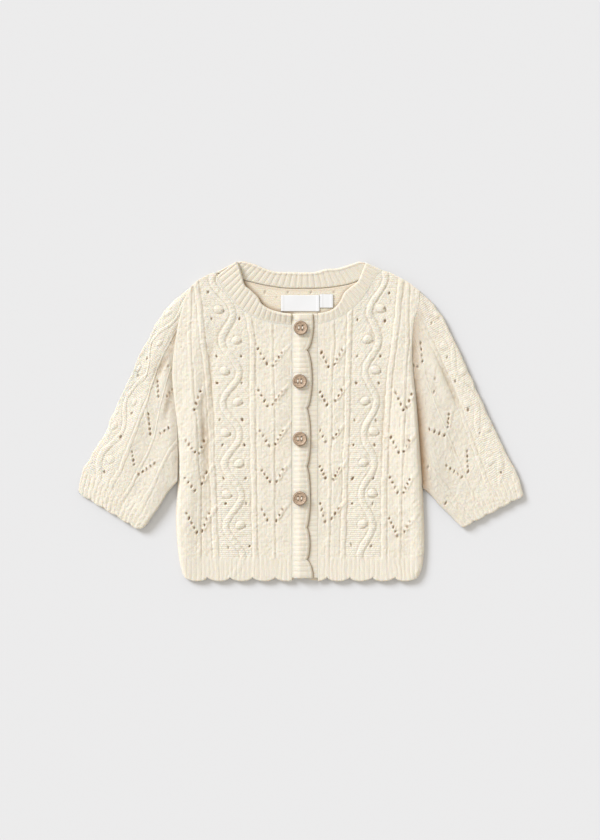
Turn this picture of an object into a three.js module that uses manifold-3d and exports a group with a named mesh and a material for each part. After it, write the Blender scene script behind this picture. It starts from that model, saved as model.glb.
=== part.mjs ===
// Baby cardigan in lace and cable knit, buttoned and laid flat on its back.
// Millimetres, +Z up. While it is being built, x is the distance from the button line, positive
// towards the wearer's left, and y the height above the hem line. The finished garment is then
// moved so that the origin is under the middle of it, on the surface it lies on.

import * as THREE from "three";
import { mergeVertices } from "three/addons/utils/BufferGeometryUtils.js";
import Module from "manifold-3d";

// Driving dimensions

const CLOTH = 2.6; // thickness of a knitted wall
const SEAM = 0.3; // gap between pieces that are sewn or lie on each other
const FRONT_LEVEL = CLOTH + SEAM; // underside of what lies on the back
const LAP_LEVEL = FRONT_LEVEL + CLOTH + SEAM; // underside of the band that laps over
const EDGE_DROP = 0.9; // how much thinner a wall is along its rounded edge
const EDGE_INSET = 1.8; // width of that rounded edge

const RIB_RISE = 0.9; // single and double ribs
const ROPE_RISE = 1.4; // wavy travelling rope
const CROWN_SHARE = 0.45; // share of a rib's or rope's half width that is its crown
const LACE_RISE = 0.5; // centre stitch of a lace column
const BRANCH_RISE = 0.6; // slanting stitches of the lace
const BOBBLE_RISE = 2.2;
const BOBBLE_RADIUS = 5.2;
const BOBBLE_ASIDE = 0.8; // how far a bobble sits from the rope's middle line, as a share of its sway
const SIDE_FADE = 8; // width along the side over which the relief dies away
const CENTRE_FADE = 4; // the same along the centre edge
const SLEEVE_FADE = 6; // and along the folds of a sleeve
const BAND_RIB_RISE = 0.6; // ribs of hem, cuffs, bands and neckband
const BAND_RIB_PITCH = 5.6;

const WAVE_LENGTH = 61.5; // of the travelling rope
const RIGHT_WAVE_TOP = 269.5; // a height at which the rope swings towards the button line
const LEFT_WAVE_TOP = 270.5;
const CHEVRON_PITCH = 40; // of the lace
const CHEVRON_FALL = 15;
const CHEVRON_HALF_WIDTH = 3.4;

const HEM_RIB = 23; // height of the ribbed hem
const HEM_SCALLOP = 22.2; // width of one scallop
const HEM_SCALLOP_DEPTH = 4.5;
const HEM_BOTTOM = -1.6;
const CUFF_RIB = 22;
const CUFF_SCALLOPS = 5;
const CUFF_SCALLOP_DEPTH = 3.5;

const RIGHT_FRONT_EDGE = 7.5; // centre edge of each front, away from the button line
const LEFT_FRONT_EDGE = 18.3;
const CENTRE_BOW = 0.3; // how far that edge bows away from the line at half height
const FRONT_HEIGHT = 256;

const BUTTON_RADIUS = 7.1;
const BUTTON_HEIGHT = 2.8;
const BUTTON_DISH = 0.9; // depth of the face inside the rim
const BUTTON_RIM = 1.4; // width of the slope from the rim down to the face
const BUTTON_ROUNDING = 0.7;
const BUTTON_HOLE_SIDES = 8;
const BUTTON_HOLE_RADIUS = 0.95;
const BUTTON_HOLE_SPACING = 1.75; // of each hole from the button's axes
const BUTTONS = [
  { x: 1.2, y: 252.2 },
  { x: 0.1, y: 199.1 },
  { x: 0.3, y: 141.7 },
  { x: 0.3, y: 82.4 },
];

const LABEL_THICKNESS = 0.5;
const MAIN_LABEL = { left: -18.4, right: 20, bottom: 269, top: 285 };
const SIZE_LABEL = { left: 20.5, right: 33.5, bottom: 272.6, top: 286 };

// Outlines, as the distance from the button line at each height: armhole and side seam together

const RIGHT_SIDE = [
  { y: 0, out: 113 },
  { y: 8, out: 117 },
  { y: 18, out: 119.5 },
  { y: 32, out: 121.5 },
  { y: 64, out: 123.5 },
  { y: 97, out: 121.6 },
  { y: 150, out: 122 },
  { y: 207, out: 127 },
  { y: 251, out: 122 },
  { y: 280, out: 115 },
  { y: 292, out: 110 },
];
const LEFT_SIDE = [
  { y: 0, out: 116 },
  { y: 10, out: 121.5 },
  { y: 24, out: 124 },
  { y: 45, out: 124.7 },
  { y: 94, out: 123 },
  { y: 137, out: 120 },
  { y: 184, out: 116.3 },
  { y: 220, out: 113 },
  { y: 255, out: 114 },
  { y: 278, out: 119.5 },
  { y: 289, out: 120 },
];

// Top edge of each front, from the side to the centre: shoulder, then the seam of the neckband

const RIGHT_TOP = [
  { out: 110, y: 292 },
  { out: 102, y: 299.5 },
  { out: 94, y: 304 },
  { out: 84, y: 307.5 },
  { out: 82, y: 303 },
  { out: 78, y: 294 },
  { out: 67.6, y: 280.5 },
  { out: 60, y: 272.5 },
  { out: 50, y: 266 },
  { out: 38, y: 260.5 },
  { out: 24, y: 257 },
  { out: 7.5, y: 255.5 },
];
const LEFT_TOP = [
  { out: 120, y: 289 },
  { out: 110, y: 297 },
  { out: 97, y: 304.2 },
  { out: 84, y: 309.5 },
  { out: 77, y: 304.5 },
  { out: 68, y: 290 },
  { out: 60, y: 278.7 },
  { out: 51, y: 270.5 },
  { out: 41, y: 263.5 },
  { out: 26, y: 258 },
  { out: 18.3, y: 256.5 },
];
const NECK_CORNER = 3; // place in both tables at which the shoulder meets the neckband

// Free edges of the neckband, from the shoulder to the centre front

const RIGHT_NECK_EDGE = [
  { x: -63, y: 318.8 },
  { x: -60, y: 313.5 },
  { x: -57, y: 303 },
  { x: -54.5, y: 295 },
  { x: -49, y: 290.3 },
  { x: -41.5, y: 283 },
  { x: -37.6, y: 276.5 },
  { x: -30, y: 271.4 },
  { x: -18, y: 267.8 },
  { x: -7.8, y: 266.5 },
];
const LEFT_NECK_EDGE = [
  { x: 66, y: 318 },
  { x: 62.5, y: 309 },
  { x: 58.1, y: 299 },
  { x: 51, y: 293.3 },
  { x: 44.7, y: 287.5 },
  { x: 40.8, y: 279.5 },
  { x: 36, y: 273.5 },
  { x: 29, y: 269.2 },
  { x: 18.6, y: 267 },
];

// Back neckband: its seam on the back panel and its free edge, from the wearer's right to left

const BACK_NECK_SEAM = [
  { x: -84, y: 307.5 },
  { x: -70, y: 303.2 },
  { x: -53, y: 299.2 },
  { x: -34, y: 294.8 },
  { x: -14, y: 291.9 },
  { x: 7, y: 291.6 },
  { x: 27, y: 292.3 },
  { x: 47, y: 295.3 },
  { x: 60, y: 299.6 },
  { x: 73, y: 304.3 },
  { x: 84, y: 309.5 },
];
const BACK_NECK_EDGE = [
  { x: -63, y: 318.8 },
  { x: -55, y: 319 },
  { x: -44, y: 316 },
  { x: -27, y: 309.6 },
  { x: -10, y: 308.6 },
  { x: 14, y: 308.6 },
  { x: 26, y: 311.6 },
  { x: 38, y: 312.4 },
  { x: 50, y: 316 },
  { x: 59, y: 318.8 },
  { x: 66, y: 318 },
];

// Sleeves: outer fold from the shoulder to the cuff, and inner fold from the underarm to the cuff

const RIGHT_SLEEVE = {
  outer: [
    { x: -110.3, y: 292.3 },
    { x: -124, y: 281 },
    { x: -136, y: 268 },
    { x: -148.5, y: 248 },
    { x: -166.5, y: 210 },
    { x: -189, y: 161 },
    { x: -196.5, y: 143.5 },
    { x: -209, y: 123 },
    { x: -218, y: 107 },
    { x: -222.3, y: 88 },
  ],
  inner: [
    { x: -122.1, y: 99 },
    { x: -131, y: 89 },
    { x: -139, y: 76 },
    { x: -148, y: 63.5 },
    { x: -154.4, y: 53.6 },
  ],
};
const LEFT_SLEEVE = {
  outer: [
    { x: 120.3, y: 289.2 },
    { x: 131, y: 279 },
    { x: 139, y: 270 },
    { x: 157, y: 236 },
    { x: 178.6, y: 187.5 },
    { x: 191, y: 160 },
    { x: 199, y: 144 },
    { x: 210, y: 120 },
    { x: 219, y: 104 },
    { x: 224.5, y: 84.5 },
  ],
  inner: [
    { x: 123.6, y: 92 },
    { x: 131.5, y: 85 },
    { x: 140, y: 75 },
    { x: 151, y: 64 },
    { x: 162.2, y: 52 },
  ],
};

// Knit columns of a front, from the centre to the side: how far out each is at hem, chest,
// yoke and top edge, and the half width of the raised stitches

const HEM_AT = 23;
const CHEST_AT = 150;
const YOKE_AT = 240;
const RIGHT_COLUMNS = [
  { kind: "lace", hem: 25.5, chest: 25.5, yoke: 26, top: 26, half: 1.6, arm: 13 },
  { kind: "rib", hem: 45, chest: 47, yoke: 48.5, top: 52, half: 3.3 },
  { kind: "rope", hem: 65, chest: 67.5, yoke: 69.5, top: 80, half: 2.8, sway: 8 },
  { kind: "rib", hem: 78.7, chest: 84.8, yoke: 93, top: 102, half: 2.5 },
  { kind: "lace", hem: 98, chest: 99, yoke: 108, top: 107.5, half: 1.6, arm: 12 },
];
const LEFT_COLUMNS = [
  { kind: "lace", hem: 31, chest: 32, yoke: 34.5, top: 34.5, half: 1.6, arm: 10 },
  { kind: "rib", hem: 47.2, chest: 48.3, yoke: 49, top: 51, half: 3.3 },
  { kind: "rope", hem: 67, chest: 69, yoke: 73, top: 81, half: 2.8, sway: 6 },
  { kind: "rib", hem: 85.5, chest: 90, yoke: 96, top: 103, half: 2.5 },
  { kind: "lace", hem: 103, chest: 104.5, yoke: 109, top: 111, half: 1.6, arm: 11 },
];
const SLEEVE_COLUMNS = [
  { kind: "rope", across: 0.17, half: 0.035, sway: 0.07 },
  { kind: "rib", across: 0.37, half: 0.032 },
  { kind: "lace", across: 0.6, half: 0.02 },
  { kind: "rib", across: 0.84, half: 0.032 },
];

// Bands: heights of their ends, and the arches of the lapping edge from the top down

const BAND_TOP = 266.5;
const BAND_BOTTOM = 1.5;
const LAP_CLIMB = 3.2; // width over which the band climbs on to the other
const LAP_POINTS_REACH = 6.8; // of the points between its arches
const LAP_SCALLOPS = [
  { top: 284, bottom: 230.4, bulge: 7 },
  { top: 230.4, bottom: 172.3, bulge: 5.6 },
  { top: 172.3, bottom: 114.2, bulge: 4 },
  { top: 114.2, bottom: 53.4, bulge: 3.8 },
  { top: 53.4, bottom: 21, bulge: 3.3 },
  { top: 21, bottom: -13, bulge: 6.6 },
];
const UNDER_BAND = { left: -3.4, right: 17.9 };
const NECK_SEAM = 0.35;
const NECK_CORNER_GAP = 1; // between the end of the neckband and the corner of the shoulder
const ARMHOLE_SEAM = 0.75;
const BACK_HEM_LIFT = 1;
const STRIP_EDGE = 0.12; // share of a neckband's width that its edge rounds over
const SLEEVE_LACE_ARM = 14;

// How finely the walls are divided

const BACK_HEM_STEPS = 6; // to a scallop
const SIDE_STEPS = 24;
const BACK_NECK_STEPS = 26;
const BUTTON_SIDES = 16;

const LINES_BETWEEN = 3; // plain lines between two raised columns
const BODY_ROWS = 28;
const YOKE_ROWS = 7;
const SLEEVE_ROWS = 16;
const SLEEVE_UNDER_LINES = 12;
const SLEEVE_INSIDE_ROWS = 5;
const CLOSEST_LINES = 0.6;
const MEETING_TURNS = 6; // of the search for the place where a line meets the top edge

const cream = { color: 0xefe7d4, roughness: 0.92, metalness: 0 };
const shade = { color: 0xe9dfc9, roughness: 0.94, metalness: 0 };
const wood = { color: 0xa98c74, roughness: 0.55, metalness: 0 };
const satin = { color: 0xfafafa, roughness: 0.5, metalness: 0 };

// Curves

const mix = THREE.MathUtils.lerp;
const clamp = THREE.MathUtils.clamp;

// Value of one column of a table at a place in another, on a smooth curve through the rows.
function read(table, from, to, at) {
  const rising = table[0][from] < table[table.length - 1][from];
  const rows = rising ? table : [...table].reverse();
  const last = rows.length - 1;
  const place = clamp(at, rows[0][from], rows[last][from]);
  const next = Math.max(1, rows.findIndex((row) => row[from] >= place));
  const before = rows[next - 1];
  const after = rows[next];
  const slope = (low, high) => (rows[high][to] - rows[low][to]) / (rows[high][from] - rows[low][from]);
  const step = after[from] - before[from];
  const share = (place - before[from]) / step;
  const startSlope = slope(Math.max(0, next - 2), next) * step;
  const endSlope = slope(next - 1, Math.min(last, next + 1)) * step;
  const fall = 1 - share;
  return (
    before[to] * (1 + 2 * share) * fall * fall +
    after[to] * share * share * (3 - 2 * share) +
    startSlope * share * fall * fall -
    endSlope * share * share * fall
  );
}

// A smooth curve through a table of x and y, read by the share of its length.
function curveThrough(table) {
  const points = table.map((row) => new THREE.Vector2(row.x, row.y));
  return new THREE.SplineCurve(points);
}

// Sideways offset of a curve by a distance, as a function of the share of its length.
function offsetCurve(curve, distance) {
  return (share) => {
    const along = curve.getTangentAt(share);
    return curve.getPointAt(share).add(new THREE.Vector2(-along.y, along.x).multiplyScalar(distance));
  };
}

// Solids

function meshOf(name, geometry, finish) {
  const mesh = new THREE.Mesh(geometry, new THREE.MeshStandardMaterial({ ...finish, flatShading: true }));
  mesh.name = name;
  return mesh;
}

function geometryOf(points, triangles) {
  const geometry = new THREE.BufferGeometry();
  geometry.setAttribute("position", new THREE.Float32BufferAttribute(points.flatMap((p) => p.toArray()), 3));
  geometry.setIndex(triangles);
  return geometry;
}

// Two triangles for each cell between two lines of points, given by their first places.
function joinLines(triangles, first, second, count, closed) {
  const cells = closed ? count : count - 1;
  for (let cell = 0; cell < cells; cell += 1) {
    const next = (cell + 1) % count;
    triangles.push(first + cell, first + next, second + next, first + cell, second + next, second + cell);
  }
}

// A wall with a worked upper face over a flat underside. The rows of the upper face run from the
// hem up, and their points so that the face turns upwards.
function panelGeometry(rows, underside) {
  const width = rows[0].length;
  const height = rows.length;
  const points = rows.flat();
  const triangles = [];
  for (let row = 0; row + 1 < height; row += 1) {
    joinLines(triangles, row * width, (row + 1) * width, width, false);
  }
  const rim = [];
  for (let line = 0; line < width; line += 1) rim.push(line);
  for (let row = 1; row < height; row += 1) rim.push(row * width + width - 1);
  for (let line = width - 2; line >= 0; line -= 1) rim.push((height - 1) * width + line);
  for (let row = height - 2; row > 0; row -= 1) rim.push(row * width);
  const below = points.length;
  for (const place of rim) points.push(points[place].clone().setZ(underside));
  rim.forEach((place, corner) => {
    const next = (corner + 1) % rim.length;
    triangles.push(place, below + corner, below + next, place, below + next, rim[next]);
  });
  const outline = rim.map((place) => new THREE.Vector2(points[place].x, points[place].y));
  const mirrored = THREE.ShapeUtils.isClockWise(outline);
  for (const [a, b, c] of THREE.ShapeUtils.triangulateShape(outline, [])) {
    triangles.push(...(mirrored ? [below + a, below + b, below + c] : [below + a, below + c, below + b]));
  }
  return geometryOf(points, triangles);
}

// A solid strip through closed sections of equal count, each turning the same way, with flat ends.
function stripGeometry(sections, endProfile) {
  const count = sections[0].length;
  const points = sections.flat();
  const triangles = [];
  for (let step = 0; step + 1 < sections.length; step += 1) {
    joinLines(triangles, step * count, (step + 1) * count, count, true);
  }
  const far = (sections.length - 1) * count;
  for (const [a, b, c] of THREE.ShapeUtils.triangulateShape(endProfile, [])) {
    triangles.push(a, c, b, far + a, far + b, far + c);
  }
  return geometryOf(points, triangles);
}

// An open tube: outer rings, inner rings of the same count, and a rim at both ends.
function tubeGeometry(outer, inner) {
  const count = outer[0].length;
  const points = [...outer.flat(), ...inner.flat()];
  const triangles = [];
  const inside = outer.length * count;
  for (let ring = 0; ring + 1 < outer.length; ring += 1) {
    joinLines(triangles, ring * count, (ring + 1) * count, count, true);
  }
  for (let ring = 0; ring + 1 < inner.length; ring += 1) {
    joinLines(triangles, inside + (ring + 1) * count, inside + ring * count, count, true);
  }
  joinLines(triangles, inside, 0, count, true);
  joinLines(triangles, (outer.length - 1) * count, inside + (inner.length - 1) * count, count, true);
  return geometryOf(points, triangles);
}

// Turns a closed surface right way out, whichever way its table ran.
function facingOut(geometry) {
  const place = geometry.attributes.position;
  const index = geometry.index;
  const corners = [new THREE.Vector3(), new THREE.Vector3(), new THREE.Vector3()];
  let volume = 0;
  for (let first = 0; first < index.count; first += 3) {
    corners.forEach((corner, turn) => corner.fromBufferAttribute(place, index.getX(first + turn)));
    volume += corners[0].dot(corners[1].cross(corners[2]));
  }
  if (volume < 0) geometry.setIndex(Array.from(index.array).reverse());
  return geometry;
}

// Hem

// Height of the scalloped hem at a distance from the button line: arches with points between them.
function hemHeight(out, firstPoint) {
  const arch = Math.abs(Math.sin((Math.PI * (out - firstPoint)) / HEM_SCALLOP));
  return HEM_BOTTOM + HEM_SCALLOP_DEPTH * (1 - Math.sqrt(arch));
}

const RIGHT_HEM_POINT = 1.8;
const LEFT_HEM_POINT = 5.2;

// Fronts

// How far out a column lies at a height.
function columnOut(column, y, topHeight) {
  const table = [
    { y: HEM_AT, out: column.hem },
    { y: CHEST_AT, out: column.chest },
    { y: YOKE_AT, out: column.yoke },
    { y: topHeight, out: column.top },
  ];
  return read(table, "y", "out", y);
}

// Swing of the rope at a height: full towards the button line at the top of the wave.
function ropeSwing(y, waveTop) {
  return -Math.cos((2 * Math.PI * (y - waveTop)) / WAVE_LENGTH);
}

// Lines of a front at one height, from the centre to the side: distance out and height of relief.
function frontLines(front, y) {
  const centre = front.edge + CENTRE_BOW * Math.sin((Math.PI * y) / FRONT_HEIGHT);
  const lines = [
    { out: centre, rise: -EDGE_DROP },
    { out: centre + EDGE_INSET, rise: 0 },
  ];
  const side = read(front.side, "y", "out", y);
  const sideLines = [
    { out: side - EDGE_INSET, rise: 0 },
    { out: side, rise: -EDGE_DROP },
  ];
  const raised = front.columns.map((column) => {
    const topHeight = read(front.top, "out", "y", column.top);
    const sway = column.kind === "rope" ? column.sway * ropeSwing(y, front.waveTop) : 0;
    const middle = columnOut(column, y, topHeight) + sway;
    const rise = { rib: RIB_RISE, rope: ROPE_RISE, lace: LACE_RISE }[column.kind];
    const crown = column.kind === "lace" ? [0] : [-CROWN_SHARE, CROWN_SHARE];
    return [
      { out: middle - column.half, rise: 0 },
      ...crown.map((share) => ({ out: middle + share * column.half, rise })),
      { out: middle + column.half, rise: 0 },
    ];
  });
  for (const group of [...raised, sideLines]) {
    const from = lines[lines.length - 1].out;
    for (let line = 1; line <= LINES_BETWEEN; line += 1) {
      lines.push({ out: mix(from, group[0].out, line / (LINES_BETWEEN + 1)), rise: 0 });
    }
    lines.push(...group);
  }
  for (let line = lines.length - 2; line > 0; line -= 1) {
    lines[line].out = Math.min(lines[line].out, lines[line + 1].out - CLOSEST_LINES);
  }
  return lines;
}

// Height that slanting lace stitches and bobbles add at a place on a front.
function frontRelief(front, out, y) {
  let relief = 0;
  for (const column of front.columns) {
    const topHeight = read(front.top, "out", "y", column.top);
    const away = Math.abs(out - columnOut(column, y, topHeight));
    if (column.kind === "lace" && away < column.arm + CHEVRON_HALF_WIDTH) {
      const slant = y - front.chevronTop + CHEVRON_FALL * (1 - away / column.arm);
      const step = slant - CHEVRON_PITCH * Math.round(slant / CHEVRON_PITCH);
      relief += BRANCH_RISE * clamp(1 - Math.abs(step) / (2 * CHEVRON_HALF_WIDTH), 0, 1);
    }
    if (column.kind === "rope") {
      const half = WAVE_LENGTH / 2;
      const turn = Math.round((y - front.waveTop) / half);
      const centreY = front.waveTop + turn * half;
      const towards = turn % 2 === 0 ? 1 : -1;
      const aside = towards * BOBBLE_ASIDE * column.sway;
      const centre = columnOut(column, centreY, topHeight) + aside;
      const reach = Math.hypot(out - centre, y - centreY) / BOBBLE_RADIUS;
      relief += BOBBLE_RISE * clamp(1 - reach * reach, 0, 1);
    }
  }
  return relief;
}

// Heights of the rows of a front between its hem and its top edge at one line.
function rowHeights(bottom, top) {
  const heights = [bottom, bottom + EDGE_INSET, HEM_RIB / 2, HEM_RIB - 1, HEM_RIB + 1];
  for (let row = 1; row <= BODY_ROWS; row += 1) heights.push(mix(HEM_RIB + 1, YOKE_AT, row / BODY_ROWS));
  for (let row = 1; row <= YOKE_ROWS; row += 1) heights.push(mix(YOKE_AT, top, row / YOKE_ROWS));
  return heights;
}

// Height at which a line of a front meets the top edge.
function topMeeting(front, place, lastPlace) {
  if (place === lastPlace) return front.top[0].y;
  let height = YOKE_AT;
  for (let turn = 0; turn < MEETING_TURNS; turn += 1) {
    height = read(front.top, "out", "y", frontLines(front, height)[place].out);
  }
  return height;
}

// Upper face of a front, as rows of points from the hem up.
function frontRows(front) {
  const hemLines = frontLines(front, 0);
  const lastPlace = hemLines.length - 1;
  const columns = hemLines.map((hemLine, place) => {
    const heights = rowHeights(hemHeight(hemLine.out, front.hemPoint), topMeeting(front, place, lastPlace));
    return heights.map((y, row) => {
      const line = frontLines(front, Math.max(y, 0))[place];
      const edge = read(front.side, "y", "out", y);
      const fromSide = clamp((edge - line.out) / SIDE_FADE, 0, 1);
      const fade = fromSide * clamp((line.out - front.edge) / CENTRE_FADE, 0, 1);
      const hemRib = place % 2 === 0 ? BAND_RIB_RISE : 0;
      const worked = y < HEM_RIB ? hemRib : line.rise + frontRelief(front, line.out, y);
      const atEdge = row === 0 || row === heights.length - 1 || line.rise < 0;
      return new THREE.Vector3(
        front.toward * line.out,
        y,
        FRONT_LEVEL + CLOTH + (atEdge ? -EDGE_DROP : worked * fade),
      );
    });
  });
  return columns[0].map((_, row) => columns.map((column) => column[row]));
}

function frontPanel(name, front) {
  return meshOf(name, facingOut(panelGeometry(frontRows(front), FRONT_LEVEL)), cream);
}

const RIGHT_FRONT = {
  toward: -1,
  edge: RIGHT_FRONT_EDGE,
  side: RIGHT_SIDE,
  top: RIGHT_TOP,
  columns: RIGHT_COLUMNS,
  waveTop: RIGHT_WAVE_TOP,
  chevronTop: 232,
  hemPoint: RIGHT_HEM_POINT,
};
const LEFT_FRONT = {
  toward: 1,
  edge: LEFT_FRONT_EDGE,
  side: LEFT_SIDE,
  top: LEFT_TOP,
  columns: LEFT_COLUMNS,
  waveTop: LEFT_WAVE_TOP,
  chevronTop: 229,
  hemPoint: LEFT_HEM_POINT,
};

// Back panel, plain: only the inside of its neck shows

function backPanel() {
  const outline = [];
  const corner = (toward, table, y) => [toward * read(table, "y", "out", y), y];
  for (let x = -RIGHT_SIDE[0].out; x <= LEFT_SIDE[0].out; x += HEM_SCALLOP / BACK_HEM_STEPS) {
    const bottom = x < 0 ? hemHeight(-x, RIGHT_HEM_POINT) : hemHeight(x, LEFT_HEM_POINT);
    outline.push([x, bottom + BACK_HEM_LIFT]);
  }
  const leftTip = LEFT_SIDE[LEFT_SIDE.length - 1].y;
  const rightTip = RIGHT_SIDE[RIGHT_SIDE.length - 1].y;
  for (let step = 1; step <= SIDE_STEPS; step += 1) {
    outline.push(corner(1, LEFT_SIDE, (leftTip * step) / SIDE_STEPS));
  }
  for (const row of LEFT_TOP.slice(1, NECK_CORNER)) outline.push([row.out, row.y]);
  const neck = curveThrough(BACK_NECK_SEAM).getSpacedPoints(BACK_NECK_STEPS);
  for (const point of neck.reverse()) outline.push([point.x, point.y]);
  for (const row of RIGHT_TOP.slice(1, NECK_CORNER).reverse()) outline.push([-row.out, row.y]);
  for (let step = SIDE_STEPS; step >= 1; step -= 1) {
    outline.push(corner(-1, RIGHT_SIDE, (rightTip * step) / SIDE_STEPS));
  }
  const shape = new THREE.Shape(outline.map(([x, y]) => new THREE.Vector2(x, y)));
  const wall = new THREE.ExtrudeGeometry(shape, { depth: CLOTH, bevelEnabled: false });
  return meshOf("back", wall, shade);
}

// Bands

// How far the free edge of the buttonhole band reaches at a height: an arch between two points.
function lapReach(y) {
  const arch = LAP_SCALLOPS.find((row) => y >= row.bottom) ?? LAP_SCALLOPS[LAP_SCALLOPS.length - 1];
  const share = clamp((y - arch.bottom) / (arch.top - arch.bottom), 0, 1);
  return LAP_POINTS_REACH + arch.bulge * Math.sqrt(Math.sin(Math.PI * share));
}

// Buttonhole band: it starts beside the front and climbs on to the band under it.
function lapBand() {
  const sections = [];
  const ribs = Math.round((BAND_TOP - BAND_BOTTOM) / BAND_RIB_PITCH);
  for (let step = 0; step <= 2 * ribs; step += 1) {
    const y = mix(BAND_BOTTOM, BAND_TOP, step / (2 * ribs));
    const joint = SEAM - RIGHT_FRONT_EDGE;
    const reach = lapReach(y);
    const rib = step % 2 === 0 ? 0 : BAND_RIB_RISE;
    const top = LAP_LEVEL + CLOTH + rib;
    sections.push([
      new THREE.Vector3(joint, y, FRONT_LEVEL),
      new THREE.Vector3(joint + LAP_CLIMB, y, LAP_LEVEL),
      new THREE.Vector3(reach - EDGE_DROP, y, LAP_LEVEL),
      new THREE.Vector3(reach, y, LAP_LEVEL + EDGE_DROP),
      new THREE.Vector3(reach - EDGE_DROP, y, top - EDGE_DROP / 2),
      new THREE.Vector3(mix(joint, reach, 0.5), y, top),
      new THREE.Vector3(joint + LAP_CLIMB, y, top - EDGE_DROP / 2),
      new THREE.Vector3(joint, y, FRONT_LEVEL + CLOTH - EDGE_DROP),
    ]);
  }
  return meshOf("band_right", facingOut(stripGeometry(sections, endOutline(sections[0]))), cream);
}

// The first section of a strip, seen along it.
function endOutline(section) {
  const start = section[0];
  return section.map((point) => new THREE.Vector2(Math.hypot(point.x - start.x, point.y - start.y), point.z));
}

function underBand() {
  const shape = new THREE.Shape([
    new THREE.Vector2(UNDER_BAND.left, BAND_BOTTOM),
    new THREE.Vector2(UNDER_BAND.right, BAND_BOTTOM),
    new THREE.Vector2(UNDER_BAND.right, BAND_TOP),
    new THREE.Vector2(UNDER_BAND.left, BAND_TOP),
  ]);
  const wall = new THREE.ExtrudeGeometry(shape, { depth: CLOTH, bevelEnabled: false });
  return meshOf("band_left", wall.translate(0, 0, FRONT_LEVEL), shade);
}

// Seam of the neckband along a front, from the shoulder to the centre, a little inside the neck.
function frontNeckSeam(front) {
  const corner = front.top[NECK_CORNER].out - NECK_CORNER_GAP;
  const topRow = frontRows(front).at(-1).filter((point) => Math.abs(point.x) < corner);
  const points = topRow.reverse().map((point) => new THREE.Vector2(point.x, point.y));
  const seam = new THREE.CurvePath();
  for (let place = 1; place < points.length; place += 1) {
    seam.add(new THREE.LineCurve(points[place - 1], points[place]));
  }
  return offsetCurve(seam, -front.toward * NECK_SEAM);
}

// Ribbed strip between its seam and its free edge, with ribs across it.
function neckStrip(name, seamAt, edgeAt, length, level, wall) {
  const ribs = Math.round(length / BAND_RIB_PITCH);
  const sections = [];
  for (let step = 0; step <= 2 * ribs; step += 1) {
    const share = step / (2 * ribs);
    const seam = seamAt(share);
    const edge = edgeAt(share);
    const rib = step % 2 === 0 ? 0 : BAND_RIB_RISE;
    const at = (across, height) => {
      const place = seam.clone().lerp(edge, across);
      return new THREE.Vector3(place.x, place.y, level + height);
    };
    sections.push([
      at(0, 0),
      at(1 - STRIP_EDGE / 2, 0),
      at(1, wall / 2),
      at(1 - STRIP_EDGE, wall + rib),
      at(STRIP_EDGE, wall + rib),
      at(0, wall - EDGE_DROP / 2),
    ]);
  }
  return meshOf(name, facingOut(stripGeometry(sections, endOutline(sections[0]))), cream);
}

function frontNeckband(name, front, table) {
  const edge = curveThrough(table);
  const edgeAt = (share) => edge.getPointAt(share);
  return neckStrip(name, frontNeckSeam(front), edgeAt, edge.getLength(), FRONT_LEVEL, CLOTH);
}

function backNeckband() {
  const seam = curveThrough(BACK_NECK_SEAM);
  const edge = curveThrough(BACK_NECK_EDGE);
  const edgeAt = (share) => edge.getPointAt(share);
  const wall = CLOTH - BAND_RIB_RISE;
  return neckStrip("neckband_back", offsetCurve(seam, NECK_SEAM), edgeAt, edge.getLength(), 0, wall);
}

// Sleeves

// Places across a sleeve from the outer fold to the inner one, with the relief of each, at a
// distance from the cuff.
function sleeveLines(width, fromCuff) {
  const inset = EDGE_INSET / width;
  const lines = [{ across: inset, rise: 0 }];
  const ends = [{ across: 1 - inset, rise: 0 }];
  const raised = SLEEVE_COLUMNS.map((column) => {
    const swing = column.kind === "rope" ? column.sway * Math.sin((2 * Math.PI * fromCuff) / WAVE_LENGTH) : 0;
    const middle = column.across + swing;
    const rise = { rib: RIB_RISE, rope: ROPE_RISE, lace: LACE_RISE }[column.kind];
    return [
      { across: middle - column.half, rise: 0 },
      { across: middle, rise },
      { across: middle + column.half, rise: 0 },
    ];
  });
  for (const group of [...raised, ends]) {
    const from = lines[lines.length - 1].across;
    for (let line = 1; line <= LINES_BETWEEN; line += 1) {
      lines.push({ across: mix(from, group[0].across, line / (LINES_BETWEEN + 1)), rise: 0 });
    }
    lines.push(...group);
  }
  return lines;
}

// Relief of the lace branches and bobbles on a sleeve.
function sleeveRelief(across, fromCuff, width) {
  let relief = 0;
  for (const column of SLEEVE_COLUMNS) {
    const away = Math.abs(across - column.across) * width;
    if (column.kind === "lace" && away < SLEEVE_LACE_ARM) {
      const slant = fromCuff - CUFF_RIB + CHEVRON_FALL * (1 - away / SLEEVE_LACE_ARM);
      const step = slant - CHEVRON_PITCH * Math.round(slant / CHEVRON_PITCH);
      relief += BRANCH_RISE * clamp(1 - Math.abs(step) / (2 * CHEVRON_HALF_WIDTH), 0, 1);
    }
    if (column.kind === "rope") {
      const quarter = WAVE_LENGTH / 4;
      const turn = Math.round((fromCuff - quarter) / (2 * quarter));
      const towards = turn % 2 === 0 ? -1 : 1;
      const centre = (column.across + towards * column.sway) * width;
      const reach = Math.hypot(across * width - centre, fromCuff - quarter - turn * 2 * quarter);
      relief += BOBBLE_RISE * clamp(1 - (reach / BOBBLE_RADIUS) ** 2, 0, 1);
    }
  }
  return relief;
}

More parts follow.
